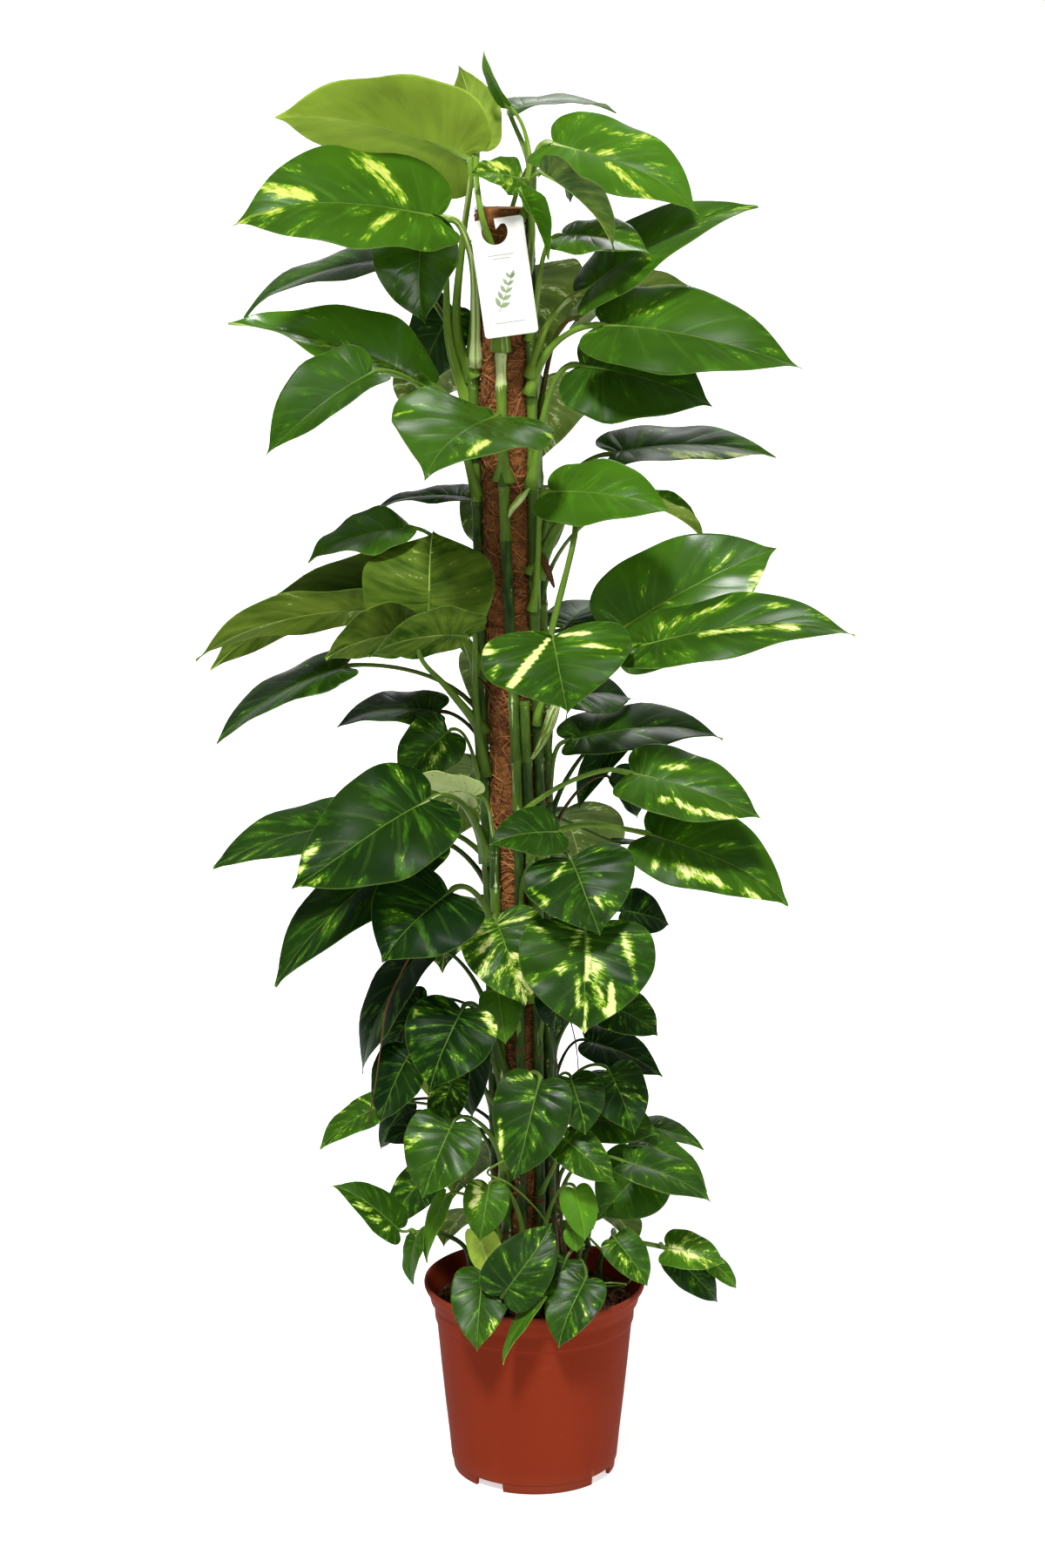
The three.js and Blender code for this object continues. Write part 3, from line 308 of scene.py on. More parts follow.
# Where a leaf's marks gather: strokes from one place to another, each place a share of the length
# and of the half width, with the stroke's reach as a share of the length and its gain
STROKES = {
    "L02": [(0.2, -0.2, 0.34, -0.95, 0.055, 0.72), (0.38, -0.6, 0.42, -0.95, 0.03, 0.4),
        (0.64, -0.1, 0.88, -0.36, 0.035, 0.9), (0.25, 0.25, 0.48, 0.75, 0.05, 0.55),
        (0.8, 0.05, 0.97, 0.05, 0.03, 0.6)],
    "L05": [(0.05, 0.3, 0.45, 0.2, 0.09, 0.5)],
    "L08": [(0.3, -0.7, 0.5, -0.85, 0.04, 0.4), (0.55, 0.5, 0.75, 0.4, 0.045, 0.8),
        (0, 0.85, 0.12, 0.95, 0.05, 0.5)],
    "L15": [(0.25, -0.3, 0.6, -0.5, 0.07, 0.6), (0.3, 0.3, 0.5, 0.5, 0.05, 0.3)],
    "L18": [(0.4, -0.2, 0.75, -0.6, 0.045, 0.8), (0.25, 0.6, 0.5, 0.85, 0.03, 0.6),
        (0.2, 0.05, 0.4, 0.1, 0.03, 0.5)],
    "L20a": [(0.5, 0.5, 0.8, 0.3, 0.05, 0.4)],
    "L22": [(0.7, -0.2, 0.95, -0.1, 0.05, 0.5)],
    "L26": [(0.35, -0.8, 0.9, -0.5, 0.06, 0.8)],
    "L29": [(0.55, -0.9, 0.85, -0.4, 0.06, 0.9), (0.4, 0.1, 0.6, 0.5, 0.03, 0.3)],
    "L30": [(0.1, 0.4, 0.4, 0.65, 0.035, 0.5), (0.3, -0.15, 0.75, -0.15, 0.025, 0.8),
        (0.6, 0.5, 0.9, 0.25, 0.025, 0.6)],
    "L32": [(0.02, -0.95, 0.2, -0.85, 0.09, 0.7), (0.2, -0.7, 0.4, -0.9, 0.035, 0.6),
        (0.04, -0.06, 0.3, -0.34, 0.03, 1.7), (0.3, -0.34, 0.6, -0.68, 0.045, 1.8),
        (0.02, 0.12, 0.06, 0.45, 0.035, 1.3), (0.25, 0.45, 0.4, 0.85, 0.05, 0.8)],
    "L35": [(0.2, 0.3, 0.6, 0.5, 0.09, 0.6)],
    "L37": [(0.7, -0.45, 0.9, -0.2, 0.035, 0.8), (0.8, 0.2, 0.95, 0.1, 0.03, 0.6),
        (0.5, 0.7, 0.7, 0.6, 0.03, 0.3)],
    "L40": [(0.05, -0.95, 0.25, -0.95, 0.03, 0.7)],
    "L41": [(0, -0.5, 0.5, -0.5, 0.12, 0.2), (0.5, 0.1, 0.9, 0.1, 0.1, 0.3)],
    "L42": [(0.05, -0.15, 0.24, -0.5, 0.035, 0.7), (0.25, -0.9, 0.5, -0.75, 0.045, 0.6),
        (0.3, 0.3, 0.4, 0.4, 0.025, 0.5), (0.6, 0.15, 0.8, 0.2, 0.025, 0.7)],
    "L43": [(0.08, 0.03, 0.5, 0.02, 0.025, 0.65), (0.35, 0.12, 0.8, 0.25, 0.075, 0.48),
        (0.55, 0.38, 0.86, 0.4, 0.03, 1.3), (0.4, -0.12, 0.75, -0.1, 0.03, 0.6),
        (0.75, 0.02, 0.97, 0, 0.03, 0.7), (0.04, -0.08, 0.42, -0.38, 0.045, 0.62),
        (0.05, 0.55, 0.52, 0.74, 0.04, 0.75), (-0.05, -0.75, 0.1, -0.6, 0.05, 0.5)],
    "L45": [(0.3, -0.6, 0.9, -0.45, 0.045, 0.9), (0.15, 0.3, 0.35, 0.5, 0.03, 0.4)],
    "L46": [(0.15, -0.7, 0.8, -0.5, 0.055, 0.65), (0.3, 0.1, 0.5, 0.4, 0.03, 0.3)],
    "L55": [(-0.05, 0.6, 0.1, 0.9, 0.08, 0.8), (0.2, -0.9, 0.6, -0.7, 0.03, 0.5)],
    "L62": [(0.15, -0.5, 0.5, -0.8, 0.05, 0.5), (0.5, 0.3, 0.7, 0.3, 0.03, 0.4)],
    "L64": [(-0.03, -0.3, 0.06, -0.8, 0.05, 0.75), (0.05, 0.3, 0.25, 0.35, 0.03, 0.6),
        (0.45, -0.75, 0.8, -0.5, 0.03, 0.8)],
    "L65": [(0.3, 0.3, 0.5, 0.6, 0.04, 0.4)],
    "L66": [(0.1, -0.3, 0.3, 0.3, 0.05, 0.45), (0.3, 0.5, 0.6, 0.6, 0.03, 0.5)],
    "L77": [(0.2, 0.5, 0.6, 0.4, 0.09, 0.6)],
    "L81": [(0, -0.5, 0.5, -0.4, 0.1, 0.8)],
    "L83": [(0.2, -0.6, 0.7, -0.4, 0.05, 0.3), (0.4, 0.6, 0.7, 0.5, 0.04, 0.3)],
    "L84": [(0.3, 0.75, 0.85, 0.4, 0.07, 0.55)],
    "L87": [(0.3, 0.75, 0.8, 0.5, 0.05, 0.45)],
    "L90": [(0.3, -0.3, 0.7, -0.3, 0.08, 0.5)],
    "L91": [(0.1, 0, 0.7, -0.3, 0.08, 0.8)],
}

# How much more than others a leaf's edge waves
RUFFLED = {
    "L04": 2, "L05": 2.4, "L10": 2, "L12a": 1.6, "L15": 2.5, "L20b": 2.5, "L21": 3.5, "L25": 1.5, "L30": 1.4,
}

# Leaves whose tip bends out of sight, and by how much that shortens the last part
BLUNT = {"L11": 0.42, "L13": 0.2, "L14": 0.25}

# Leaves whose halves are folded up along the midrib, in degrees
FOLDED = {"L04": 22, "L21": 58, "L20b": 40, "L06": 24, "L05": 18, "L28": 40, "L50": 30, "L49": 30}

# Leaves whose lower half is narrower or wider near the heel
NARROW = {"L02": 0.42, "L18": -0.1}

# Leaves whose lobes roll forward
ROLLED = {"L04": 2.4}

# Petioles that turn brown, and how far
BROWN_PETIOLES = {
    "L20a": 0.3, "L22": 0.42, "L23": 0.55, "L33": 0.4, "L34": 0.5, "L39": 0.4, "L48": 0.4, "L50": 0.5,
}

# Loose roots and runners: the vine they grow from, thickness, age and the points (x, z, y) passed
LOOSE = {
    "vine_left": [
        (1.5, 1, [(-84, 640, -20), (-104, 622, -52), (-126, 589, -66), (-157, 524, -70), (-164, 483, -72),
                  (-170, 440, -70), (-180, 387, -66)]),
        (0.9, 1, [(-60, 880, -14), (-50, 868, -27), (-42, 849, -29.5), (-32, 830, -30), (-22, 811, -29.5)]),
    ],
    "vine_front": [
        (4.2, -0.6, [(-27, 1048, -38), (-24, 1056, -42), (-15, 1067, -44), (-6, 1078, -44)]),
        (6.4, 0.42, [(-3, 792, -36), (5, 806, -40), (14, 826, -40), (21, 846, -36), (25, 853, -33)]),
        (0.9, 0.8, [(-60, 1022, -22), (-49, 1009, -28), (-33, 985, -30), (-19, 961, -33)]),
        (1.6, 0, [(-26, 352, -40), (-51, 334, -62), (-28, 322, -70), (2, 293, -66), (22, 262, -60)]),
        (1.3, 1, [(-30, 268, -42), (-40, 240, -52), (-30, 214, -58)]),
    ],
    "vine_right": [
        (3.4, 1.1, [(2, 1016, -26), (8, 1006, -30), (14, 990, -30), (20, 974, -28)]),
        (1.2, 1, [(12, 900, -28), (26, 880, -22), (34, 850, -6), (30, 820, 4)]),
        (1.5, 0.1, [(20, 300, -28), (52, 268, -44), (82, 236, -52), (104, 216, -44), (98, 206, -24),
                    (74, 204, -24), (66, 206, -44), (84, 208, -58), (100, 206, -48), (90, 200, -34)]),
    ],
    "vine_front_right": [
        (1.2, 1, [(8, 560, -32), (30, 528, -40), (44, 480, -38), (48, 430, -36)]),
    ],
    "vine_left_back": [
        (1.4, 1, [(-66, 500, 20), (-92, 470, 0), (-104, 420, -8), (-110, 360, -6), (-104, 300, 2)]),
    ],
}

# The blade's outline from heel to tip: place on the midrib, place along and half width of the
# edge, as shares of the leaf's length and width
OUTLINE = [Vector(row) for row in (
    (0, 0, 0), (0.008, -0.05, 0.075), (0.018, -0.09, 0.19), (0.035, -0.075, 0.34), (0.06, 0.01, 0.45),
    (0.1, 0.17, 0.505), (0.18, 0.38, 0.5), (0.3, 0.59, 0.415), (0.46, 0.76, 0.285), (0.64, 0.872, 0.152),
    (0.82, 0.94, 0.052), (1, 1, 0),
)]

# The points across half a blade, as shares of its half width, and the rows along it for blades
# wider than each width. Wide blades with strokes have more of both
COLUMNS = (0, 0.03, 0.08, 0.17, 0.3, 0.45, 0.6, 0.74, 0.86, 0.95, 1)
FINE_COLUMNS = (
    0, 0.025, 0.06, 0.11, 0.17, 0.24, 0.32, 0.4, 0.48, 0.56, 0.64, 0.72, 0.8, 0.87, 0.93, 0.97, 1,
)
ROWS_BY_WIDTH = ((90, 44), (55, 34), (0, 26))
FINE_ROWS = 76
FINE_WIDTH = 75


def facing(azimuth, elevation):
    """The direction at an azimuth (0 is the front, 90 the right) and an elevation."""
    flat = cos(radians(elevation))
    return Vector((sin(radians(azimuth)) * flat, -cos(radians(azimuth)) * flat, sin(radians(elevation))))


def sighted(place):
    """A place seen at x, z in the pole's plane, carried to depth y along the line of sight."""
    x, z, y = place
    share = (y - EYE.y) / -EYE.y
    return Vector((EYE.x + (x - EYE.x) * share, y, EYE.z + (z - EYE.z) * share))


def pole_axis(z):
    return Vector((POLE_LEAN_X * z, 0, z))


def spoke(radius, turn):
    return Vector((radius * cos(turn), radius * sin(turn), 0))


def around_pole(azimuth, radius, z):
    turn = radians(azimuth)
    return pole_axis(z) + Vector((radius * sin(turn), -radius * cos(turn), 0))


def clamp(value, low=0.0, high=1.0):
    return min(max(value, low), high)


def curve_through(points, t):
    """A centripetal curve through the points, t from 0 to 1 with equal shares for each stretch."""
    last = len(points) - 1
    place = clamp(t) * last
    index = min(int(place), last - 1)
    weight = place - index
    p1 = points[index]
    p2 = points[index + 1]
    p0 = points[index - 1] if index > 0 else p1 * 2 - p2
    p3 = points[index + 2] if index + 2 <= last else p2 * 2 - p1
    d0 = max((p1 - p0).length ** 0.5, 1e-4)
    d1 = max((p2 - p1).length ** 0.5, 1e-4)
    d2 = max((p3 - p2).length ** 0.5, 1e-4)
    m1 = ((p1 - p0) / d0 - (p2 - p0) / (d0 + d1) + (p2 - p1) / d1) * d1
    m2 = ((p2 - p1) / d1 - (p3 - p1) / (d1 + d2) + (p3 - p2) / d2) * d1
    a = p1 * 2 - p2 * 2 + m1 + m2
    b = p2 * 3 - p1 * 3 - m1 * 2 - m2
    return ((a * weight + b) * weight + m1) * weight + p1


def smooth_line(knots, steps_between):
    steps = steps_between * (len(knots) - 1)
    return [curve_through(knots, i / steps) for i in range(steps + 1)]


class Body:
    """Gathers points, faces and point values, and makes one mesh piece of them."""

    def __init__(self, *value_names):
        self.points = []
        self.faces = []
        self.values = {name: [] for name in value_names}

    def add(self, points, faces, *values):
        start = len(self.points)
        self.points += points
        self.faces += [[start + i for i in face] for face in faces]
        for kept, rows in zip(self.values.values(), values):
            kept += rows

    def build(self, name, material, slot, nodes, smooth=True):
        mesh = bpy.data.meshes.new(name)
        mesh.from_pydata([[c * MM for c in point] for point in self.points], [], self.faces)
        for value_name, rows in self.values.items():
            layer = mesh.attributes.new(value_name, "FLOAT_VECTOR", "POINT")
            layer.data.foreach_set("vector", np.array(rows, dtype=np.float32).ravel())
        mesh.polygons.foreach_set("use_smooth", [smooth] * len(mesh.polygons))
        mesh.materials.append(material)
        mesh.update()
        piece = bpy.data.objects.new(name, mesh)
        bpy.context.scene.collection.objects.link(piece)
        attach(piece, "root")
        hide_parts(*nodes)
        return piece


def turned_faces(count, sides):
    """The faces between rings of points, with a flat cap at each end."""
    faces = []
    for low in range(0, (count - 1) * sides, sides):
        for k in range(sides):
            after = (k + 1) % sides
            faces.append((low + k, low + after, low + sides + after, low + sides + k))
    faces.append(range(sides)[::-1])
    faces.append(range((count - 1) * sides, count * sides))
    return faces


def rings_along(points, start_side=None):
    """For each point of a line: two directions across it that don't twist."""
    frames = []
    side = None
    forward = None
    for i in range(len(points)):
        tangent = (points[min(i + 1, len(points) - 1)] - points[max(i - 1, 0)]).normalized()
        if side is None:
            side = Vector(start_side) if start_side else tangent.orthogonal()
            side = (side - tangent * side.dot(tangent)).normalized()
        else:
            side = forward.rotation_difference(tangent) @ side
        forward = tangent
        frames.append((side.copy(), tangent.cross(side)))
    return frames


def add_tube(body, points, radii, sides, values, start_side=None, squash=None):
    """A closed tube. values(i, k) gives a point's values, squash(i, angle) scales the radius."""
    vertices = []
    rows = []
    for i, (side, above) in enumerate(rings_along(points, start_side)):
        for k in range(sides):
            angle = 2 * pi * k / sides
            radius = radii[i] * (squash(i, angle) if squash else 1)
            vertices.append(points[i] + side * (radius * cos(angle)) + above * (radius * sin(angle)))
            rows.append(values(i, k))
    body.add(vertices, turned_faces(len(points), sides), *zip(*rows))


class Value:
    """An output of a look's nodes. Arithmetic with it adds math nodes."""

    def __init__(self, look, socket):
        self.look = look
        self.socket = socket

    def __add__(self, other):
        return self.look.math("ADD", self, other)

    def __sub__(self, other):
        return self.look.math("SUBTRACT", self, other)

    def __rsub__(self, other):
        return self.look.math("SUBTRACT", other, self)

    def __mul__(self, other):
        return self.look.math("MULTIPLY", self, other)

    def __pow__(self, other):
        return self.look.math("POWER", self, other)

    def __abs__(self):
        return self.look.math("ABSOLUTE", self)

    def held(self):
        """The value kept from 0 to 1."""
        return self.look.math("ADD", self, 0, clamped=True)


class Look:
    """The nodes of one new material or world."""

    def __init__(self, name, kept_in=bpy.data.materials, shader="Principled BSDF"):
        self.holder = kept_in.new(name)
        self.holder.use_nodes = True
        self.tree = self.holder.node_tree
        self.shader = self.tree.nodes[shader]

    def put(self, socket, value):
        if isinstance(value, Value):
            self.tree.links.new(value.socket, socket)
        else:
            socket.default_value = value

    def node(self, kind, inputs, output=0, **settings):
        """One output of a new node, whose inputs are set or linked."""
        made = self.tree.nodes.new("ShaderNode" + kind)
        for name, value in settings.items():
            setattr(made, name, value)
        for name, value in inputs.items():
            self.put(made.inputs[name], value)
        return Value(self, made.outputs[output])

    def math(self, operation, *values, clamped=False):
        return self.node("Math", dict(enumerate(values)), operation=operation, use_clamp=clamped)

    def vector(self, *values):
        return self.node("CombineXYZ", dict(enumerate(values)))

    def split(self, vector):
        made = self.node("SeparateXYZ", {0: vector}).socket.node
        return [Value(self, socket) for socket in made.outputs]

    def noise(self, place, scale=1.0, detail=3.0, rough=0.55, distortion=0.0):
        return self.node("TexNoise", {"Vector": place, "Scale": scale, "Detail": detail,
                                      "Roughness": rough, "Distortion": distortion}, "Fac")

    def step(self, value, low, high):
        return self.node("MapRange", {"Value": value, "From Min": low, "From Max": high}, "Result",
                         interpolation_type="SMOOTHSTEP")

    def mix(self, factor, first, second):
        return self.node("Mix", {0: factor, 6: first, 7: second}, 2, data_type="RGBA")

    def values(self, name):
        return self.split(self.node("Attribute", {}, "Vector", attribute_name=name))

    def places(self, kind="Object"):
        return self.node("TexCoord", {}, kind)

    def bump(self, height, distance, strength):
        bumped = self.node("Bump", {"Height": height, "Distance": distance, "Strength": strength})
        self.put(self.shader.inputs["Normal"], bumped)

    def finish(self, **sockets):
        for name, value in sockets.items():
            self.put(self.shader.inputs[name.replace("_", " ")], value)
        return self.holder


def rgb(*levels):
    """A colour given as it looks on screen, 0 to 255, in the renderer's linear numbers."""
    shares = [level / 255 for level in levels]
    return (*(s / 12.92 if s <= 0.04045 else ((s + 0.055) / 1.055) ** 2.4 for s in shares), 1.0)


def leaf_look():
    look = Look("pothos_leaf")
    s, c, off = look.values("leaf_at")
    marks, under, tint = look.values("leaf_is")
    seed, high, gloss = look.values("leaf_seed")
    span = abs(c)
    half = look.math("SIGN", c)

    def grain_of(along, across, detail):
        return look.noise(look.vector(s * along, span * across, half * 3.7 + seed), 1, detail, 0.6)

    broad = grain_of(17, 1.2, 3)
    value = grain_of(110, 8, 2) * 0.34 + broad * 0.66
    limit = marks * -0.24 + 0.66
    light = look.step(value, limit - 0.02, limit + 0.03)
    cream = look.step(value, limit + 0.04, limit + 0.08)
    drift = look.noise(look.vector(s * 3, c, seed), 1, 2)
    shade = ((tint * 0.5 + 0.5).held() + (drift * 0.5 - 0.25)).held() ** 1.8
    top = look.mix(shade, rgb(8, 30, 8), rgb(84, 134, 24))
    patch = look.step(broad, limit - 0.12, limit + 0.02)
    top = look.mix(patch * 0.4, top, rgb(72, 124, 22))
    top = look.mix(light, top, rgb(130, 162, 40))
    top = look.mix(cream, top, look.mix(high, rgb(210, 207, 144), rgb(194, 198, 98)))
    # The side veins lie between the quilted stretches, and the midrib thins towards the tip
    near = abs(look.math("FRACT", half * 0.25 + s * LEAF_VEINS) - 0.5)
    line = (1 - look.step(near, 0, 0.13)) * look.step(span, 1, 0.55)
    rib_width = 1.5 - s
    rib = 1 - look.step(off, rib_width * 0.4, rib_width)
    top = look.mix(line * 0.07, top, rgb(120, 160, 60))
    top = look.mix(rib * 0.45, top, rgb(112, 146, 56))
    # The undersides' bright green end is partly painted light: it stands in for light shining through the
    # blade
    streaked = (shade + (broad * 0.44 - 0.22)).held()
    low = look.mix(streaked, rgb(34, 62, 6), rgb(184, 212, 78))
    low = look.mix(light * 0.85, low, rgb(186, 200, 136))
    low = look.mix(line * 0.1, low, rgb(150, 178, 70))
    low = look.mix(rib * 0.6, low, rgb(182, 204, 104))
    color = look.mix(under, top, low)
    color = look.mix(look.step(span, 0.975, 1) * 0.3, color, rgb(110, 134, 60))
    rough = gloss * -0.2 + under * 0.22 + drift * 0.14 + 0.28
    look.bump(line * -0.5 + look.noise(look.places(), 900, 2) * 0.3, 0.0005, 0.6)
    return look.finish(Base_Color=color, Roughness=rough, Specular_IOR_Level=gloss * 0.45 + 0.04,
                       Subsurface_Weight=0.3, Subsurface_Radius=(0.5, 1, 0.2), Subsurface_Scale=0.002)


def stem_look():
    look = Look("pothos_stem")
    along, turn, seed = look.values("stem_at")
    marks, age, tint = look.values("stem_is")
    stripe = look.noise(look.vector(turn * 1.6, along * 0.012, seed))
    limit = marks * -0.25 + 0.75
    soft = look.noise(look.vector(along * 0.05, turn, seed))
    shade = (tint * 0.5 + soft * 0.6 + 0.2).held()
    green = look.mix(shade, rgb(22, 48, 16), rgb(120, 156, 50))
    green = look.mix(look.step(stripe, limit, limit + 0.05) * 0.8, green, rgb(194, 204, 148))
    scar = look.step(soft + age, 0.92, 1.12)
    color = look.mix(scar, green, look.mix(soft, rgb(44, 26, 14), rgb(102, 70, 40)))
    look.bump(look.noise(look.vector(turn * 6, along * 0.08, seed), 1, 4), 0.0006, 0.6)
    return look.finish(Base_Color=color, Roughness=scar * 0.35 + 0.4, Specular_IOR_Level=0.12)


def coir_look():
    look = Look("coir_fibre")
    tone, strand, _ = look.values("fibre_is")
    spots = look.noise(look.places(), 110, 6, 0.7, 0.8)
    mixed = (tone + (spots * 1.6 - 0.8)).held()
    color = look.mix(mixed, rgb(80, 46, 22), rgb(190, 126, 70))
    color = look.mix(look.step(tone, 0.88, 1), color, rgb(218, 168, 112))
    look.bump(look.noise(look.places(), 1400), 0.0008, 0.8)
    return look.finish(Base_Color=color, Roughness=strand * -0.15 + 0.9, Specular_IOR_Level=0.2)


def soil_look():
    look = Look("potting_soil")
    mixed = (look.values("crumb_is")[0] + (look.noise(look.places(), 220, 5) * 0.8 - 0.4)).held()
    color = look.mix(mixed, rgb(30, 16, 10), rgb(118, 72, 44))
    look.bump(look.noise(look.places(), 700, 4), 0.0012, 0.9)
    return look.finish(Base_Color=color, Roughness=0.9, Specular_IOR_Level=0.2)


def pot_look():
    look = Look("pot_plastic")
    places = look.places()
    x, y, z = look.split(places)
    cloudy = look.noise(look.vector(x * 14, y * 14, z * 2.2), 1, 4)
    color = look.mix(cloudy, rgb(102, 33, 17), rgb(119, 43, 22))
    scuffs = look.noise(places, 70, 6, 0.7, 0.6)
    ends = look.step(z, 0.03, 0) + look.step(z, 0.206, 0.214)
    edges = (look.step(scuffs, 0.62, 0.72) * (ends * 0.5 + 0.1)).held()
    color = look.mix(edges, color, rgb(160, 84, 62))
    dusty = (look.noise(places, 26, 5) * ends).held()
    color = look.mix(dusty * 0.3, color, rgb(112, 76, 60))
    look.bump(look.noise(places, 420), 0.0003, 0.35)
    rough = scuffs * 0.25 + edges * 0.2 + 0.5
    return look.finish(Base_Color=color, Roughness=rough, Specular_IOR_Level=0.02)


def plain_look(name, color, rough, scale, tone):
    look = Look(name)
    spots = look.noise(look.places(), scale)
    look.bump(look.noise(look.places(), scale * 4), 0.0001, 0.5)
    return look.finish(Base_Color=look.mix(spots, color, tone), Roughness=spots * 0.12 + rough)


LEAF = leaf_look()
STEM = stem_look()
CARD = plain_look("tag_card", rgb(222, 221, 216), 0.5, 260, rgb(230, 229, 225))
CARD_EDGE = plain_look("tag_edge", rgb(206, 150, 128), 0.6, 300, rgb(216, 168, 146))
PRINT = plain_look("tag_print", rgb(128, 148, 104), 0.55, 500, rgb(150, 166, 124))
RULES = plain_look("tag_rules", rgb(116, 120, 112), 0.55, 500, rgb(140, 143, 134))


class Leaf:
    """One leaf of the tables: its place, its bends and its looks."""

    def __init__(self, foot, outward, name, _, heel, tip, width, face, look=None, vias=None, size=None):
        self.name = name
        self.width = width
        self.vias = vias
        self.heel = sighted(heel)
        along = sighted(tip) - self.heel
        self.length = along.length
        self.along = along.normalized()
        up = facing(*face)
        self.up = (up - self.along * up.dot(self.along)).normalized()
        self.across = self.up.cross(self.along)
        self.size = size or clamp(width / 55, 1.1, 2.1)
        self.foot = foot
        self.outward = outward
        self.luck = random.Random(name)
        usual = (self.luck.uniform(0.1, 0.5), self.luck.uniform(-0.5, 0.1))
        self.marks, self.tint, self.gloss = (*(look or usual), USUAL_GLOSS)[:3]
        # Leaves from about 380 to 800 mm high are made darker: painted shade of the crowded lower part
        self.tint -= 0.22 * clamp((800 - self.heel.z) / 200) * clamp((self.heel.z - 380) / 100)
        self.strokes = STROKES.get(name, [])
        self.arch = OWN_ARCH.get(name, ARCH)
        self.seed = self.luck.uniform(0, 60)
        self.wave = self.luck.uniform(0, 6.28)
        self.ruffle = RUFFLED.get(name, 1)
        self.blunt = BLUNT.get(name, 0)
        self.bent = radians(FOLDED.get(name, 0))
        self.roll = ROLLED.get(name, 0)
        self.narrow = NARROW.get(name, 0)
        self.lean = self.luck.uniform(-0.045, 0.045)
        self.sweep = self.luck.uniform(-0.05, 0.05)
        self.hang = self.luck.uniform(0, 0.35)

    def marks_at(self, u, v):
        """How marked the blade is at a place: the leaf's own share and its strokes."""
        half = self.width / 2
        here = Vector((u * self.length, v))
        marks = self.marks
        for u0, w0, u1, w1, reach, gain in self.strokes:
            start = Vector((u0 * self.length, w0 * half))
            run = Vector((u1 * self.length, w1 * half)) - start
            share = clamp((here - start).dot(run) / run.length_squared)
            away = (here - start - run * share).length / (reach * self.length)
            marks += gain * exp(-away ** 3)
        return marks

    def point(self, u, v, c):
        """The blade's middle surface: u along the length, v across in mm, c the share across."""
        u -= self.blunt * max(u - 0.55, 0)
        half = self.width / 2
        q = min(abs(v) / half, 1)
        arch = self.arch * self.length * 4 * max(u, 0) * (1 - u)
        droop = LOBE_DROOP * self.length * max(-u, 0)
        wavy = sin(self.wave + 7.5 * u + (1.9 if c > 0 else 0)) * 0.042
        wavy += sin(self.wave * 2 + 17 * u - (2.4 if c > 0 else 0)) * 0.018
        hang = self.hang * self.length * max(u - 0.6, 0) ** 2
        lift = arch - droop - hang + half * (FOLD * q - CURL * q * q)
        lift += self.width * wavy * self.ruffle * abs(c) ** 2.2 * (1 - u * 0.6)
        lift += self.roll * self.length * max(0.24 - u, 0) ** 2 * abs(c)
        v *= 1 - self.narrow * clamp(1 - u / 0.5) * (c > 0)
        side = v * (1 + self.lean * (1 if c > 0 else -1))
        side += self.sweep * self.length * max(u, 0) ** 2 * (1 - u) * 4
        lift += abs(v) * sin(self.bent)
        side -= v * (1 - cos(self.bent))
        return self.heel + self.along * (u * self.length) + self.across * side + self.up * lift


def add_blade(body, leaf):
    fine = leaf.strokes and leaf.width > FINE_WIDTH
    rows = FINE_ROWS if fine else next(rows for least, rows in ROWS_BY_WIDTH if leaf.width > least)
    shares = FINE_COLUMNS if fine else COLUMNS
    columns = [-c for c in reversed(shares[1:])] + list(shares)
    grid = []
    for i in range(rows + 1):
        s = i / rows
        s = s * (0.6 + 0.4 * s) if s < 0.5 else s * s * 0.4 + s * 0.6
        mid, edge, half = curve_through(OUTLINE, s)
        for c in columns:
            u = mid + (edge - mid) * (abs(c) * (0.72 + 0.28 * abs(c)))
            grid.append((s, c, u, c * max(half, 0) * leaf.width))
    points = []
    values = []
    seeds = (leaf.seed, clamp((leaf.heel.z - 960) / 300), leaf.gloss)
    for under in (0, 1):
        for s, c, u, v in grid:
            crease = exp(-((v / 2.2) ** 2)) * (1 - 0.75 * max(u, 0))
            vein = cos(2 * pi * (s * LEAF_VEINS + (0.25 if c > 0 else -0.25)))
            lift = QUILT * vein * abs(c) * (1 - abs(c)) * 4 * clamp(leaf.width / 90)
            if under:
                lift = lift - BLADE / 2 - crease * 0.8 * leaf.size
            else:
                lift = lift + BLADE / 2 - crease * 0.5
            points.append(leaf.point(u, v, c) + leaf.up * lift)
            values.append(((s, c, abs(v)), (leaf.marks_at(u, v), under, leaf.tint), seeds))
    wide = len(columns)
    count = (rows + 1) * wide
    faces = []
    for i in range(0, rows * wide, wide):
        for a in range(i, i + wide - 1):
            faces.append((a, a + wide, a + wide + 1, a + 1))
            faces.append((count + a, count + a + 1, count + a + wide + 1, count + a + wide))
        a = i + wide - 1
        faces.append((i, count + i, count + i + wide, i + wide))
        faces.append((a + wide, count + a + wide, count + a, a))
    body.add(points, faces, *zip(*values))


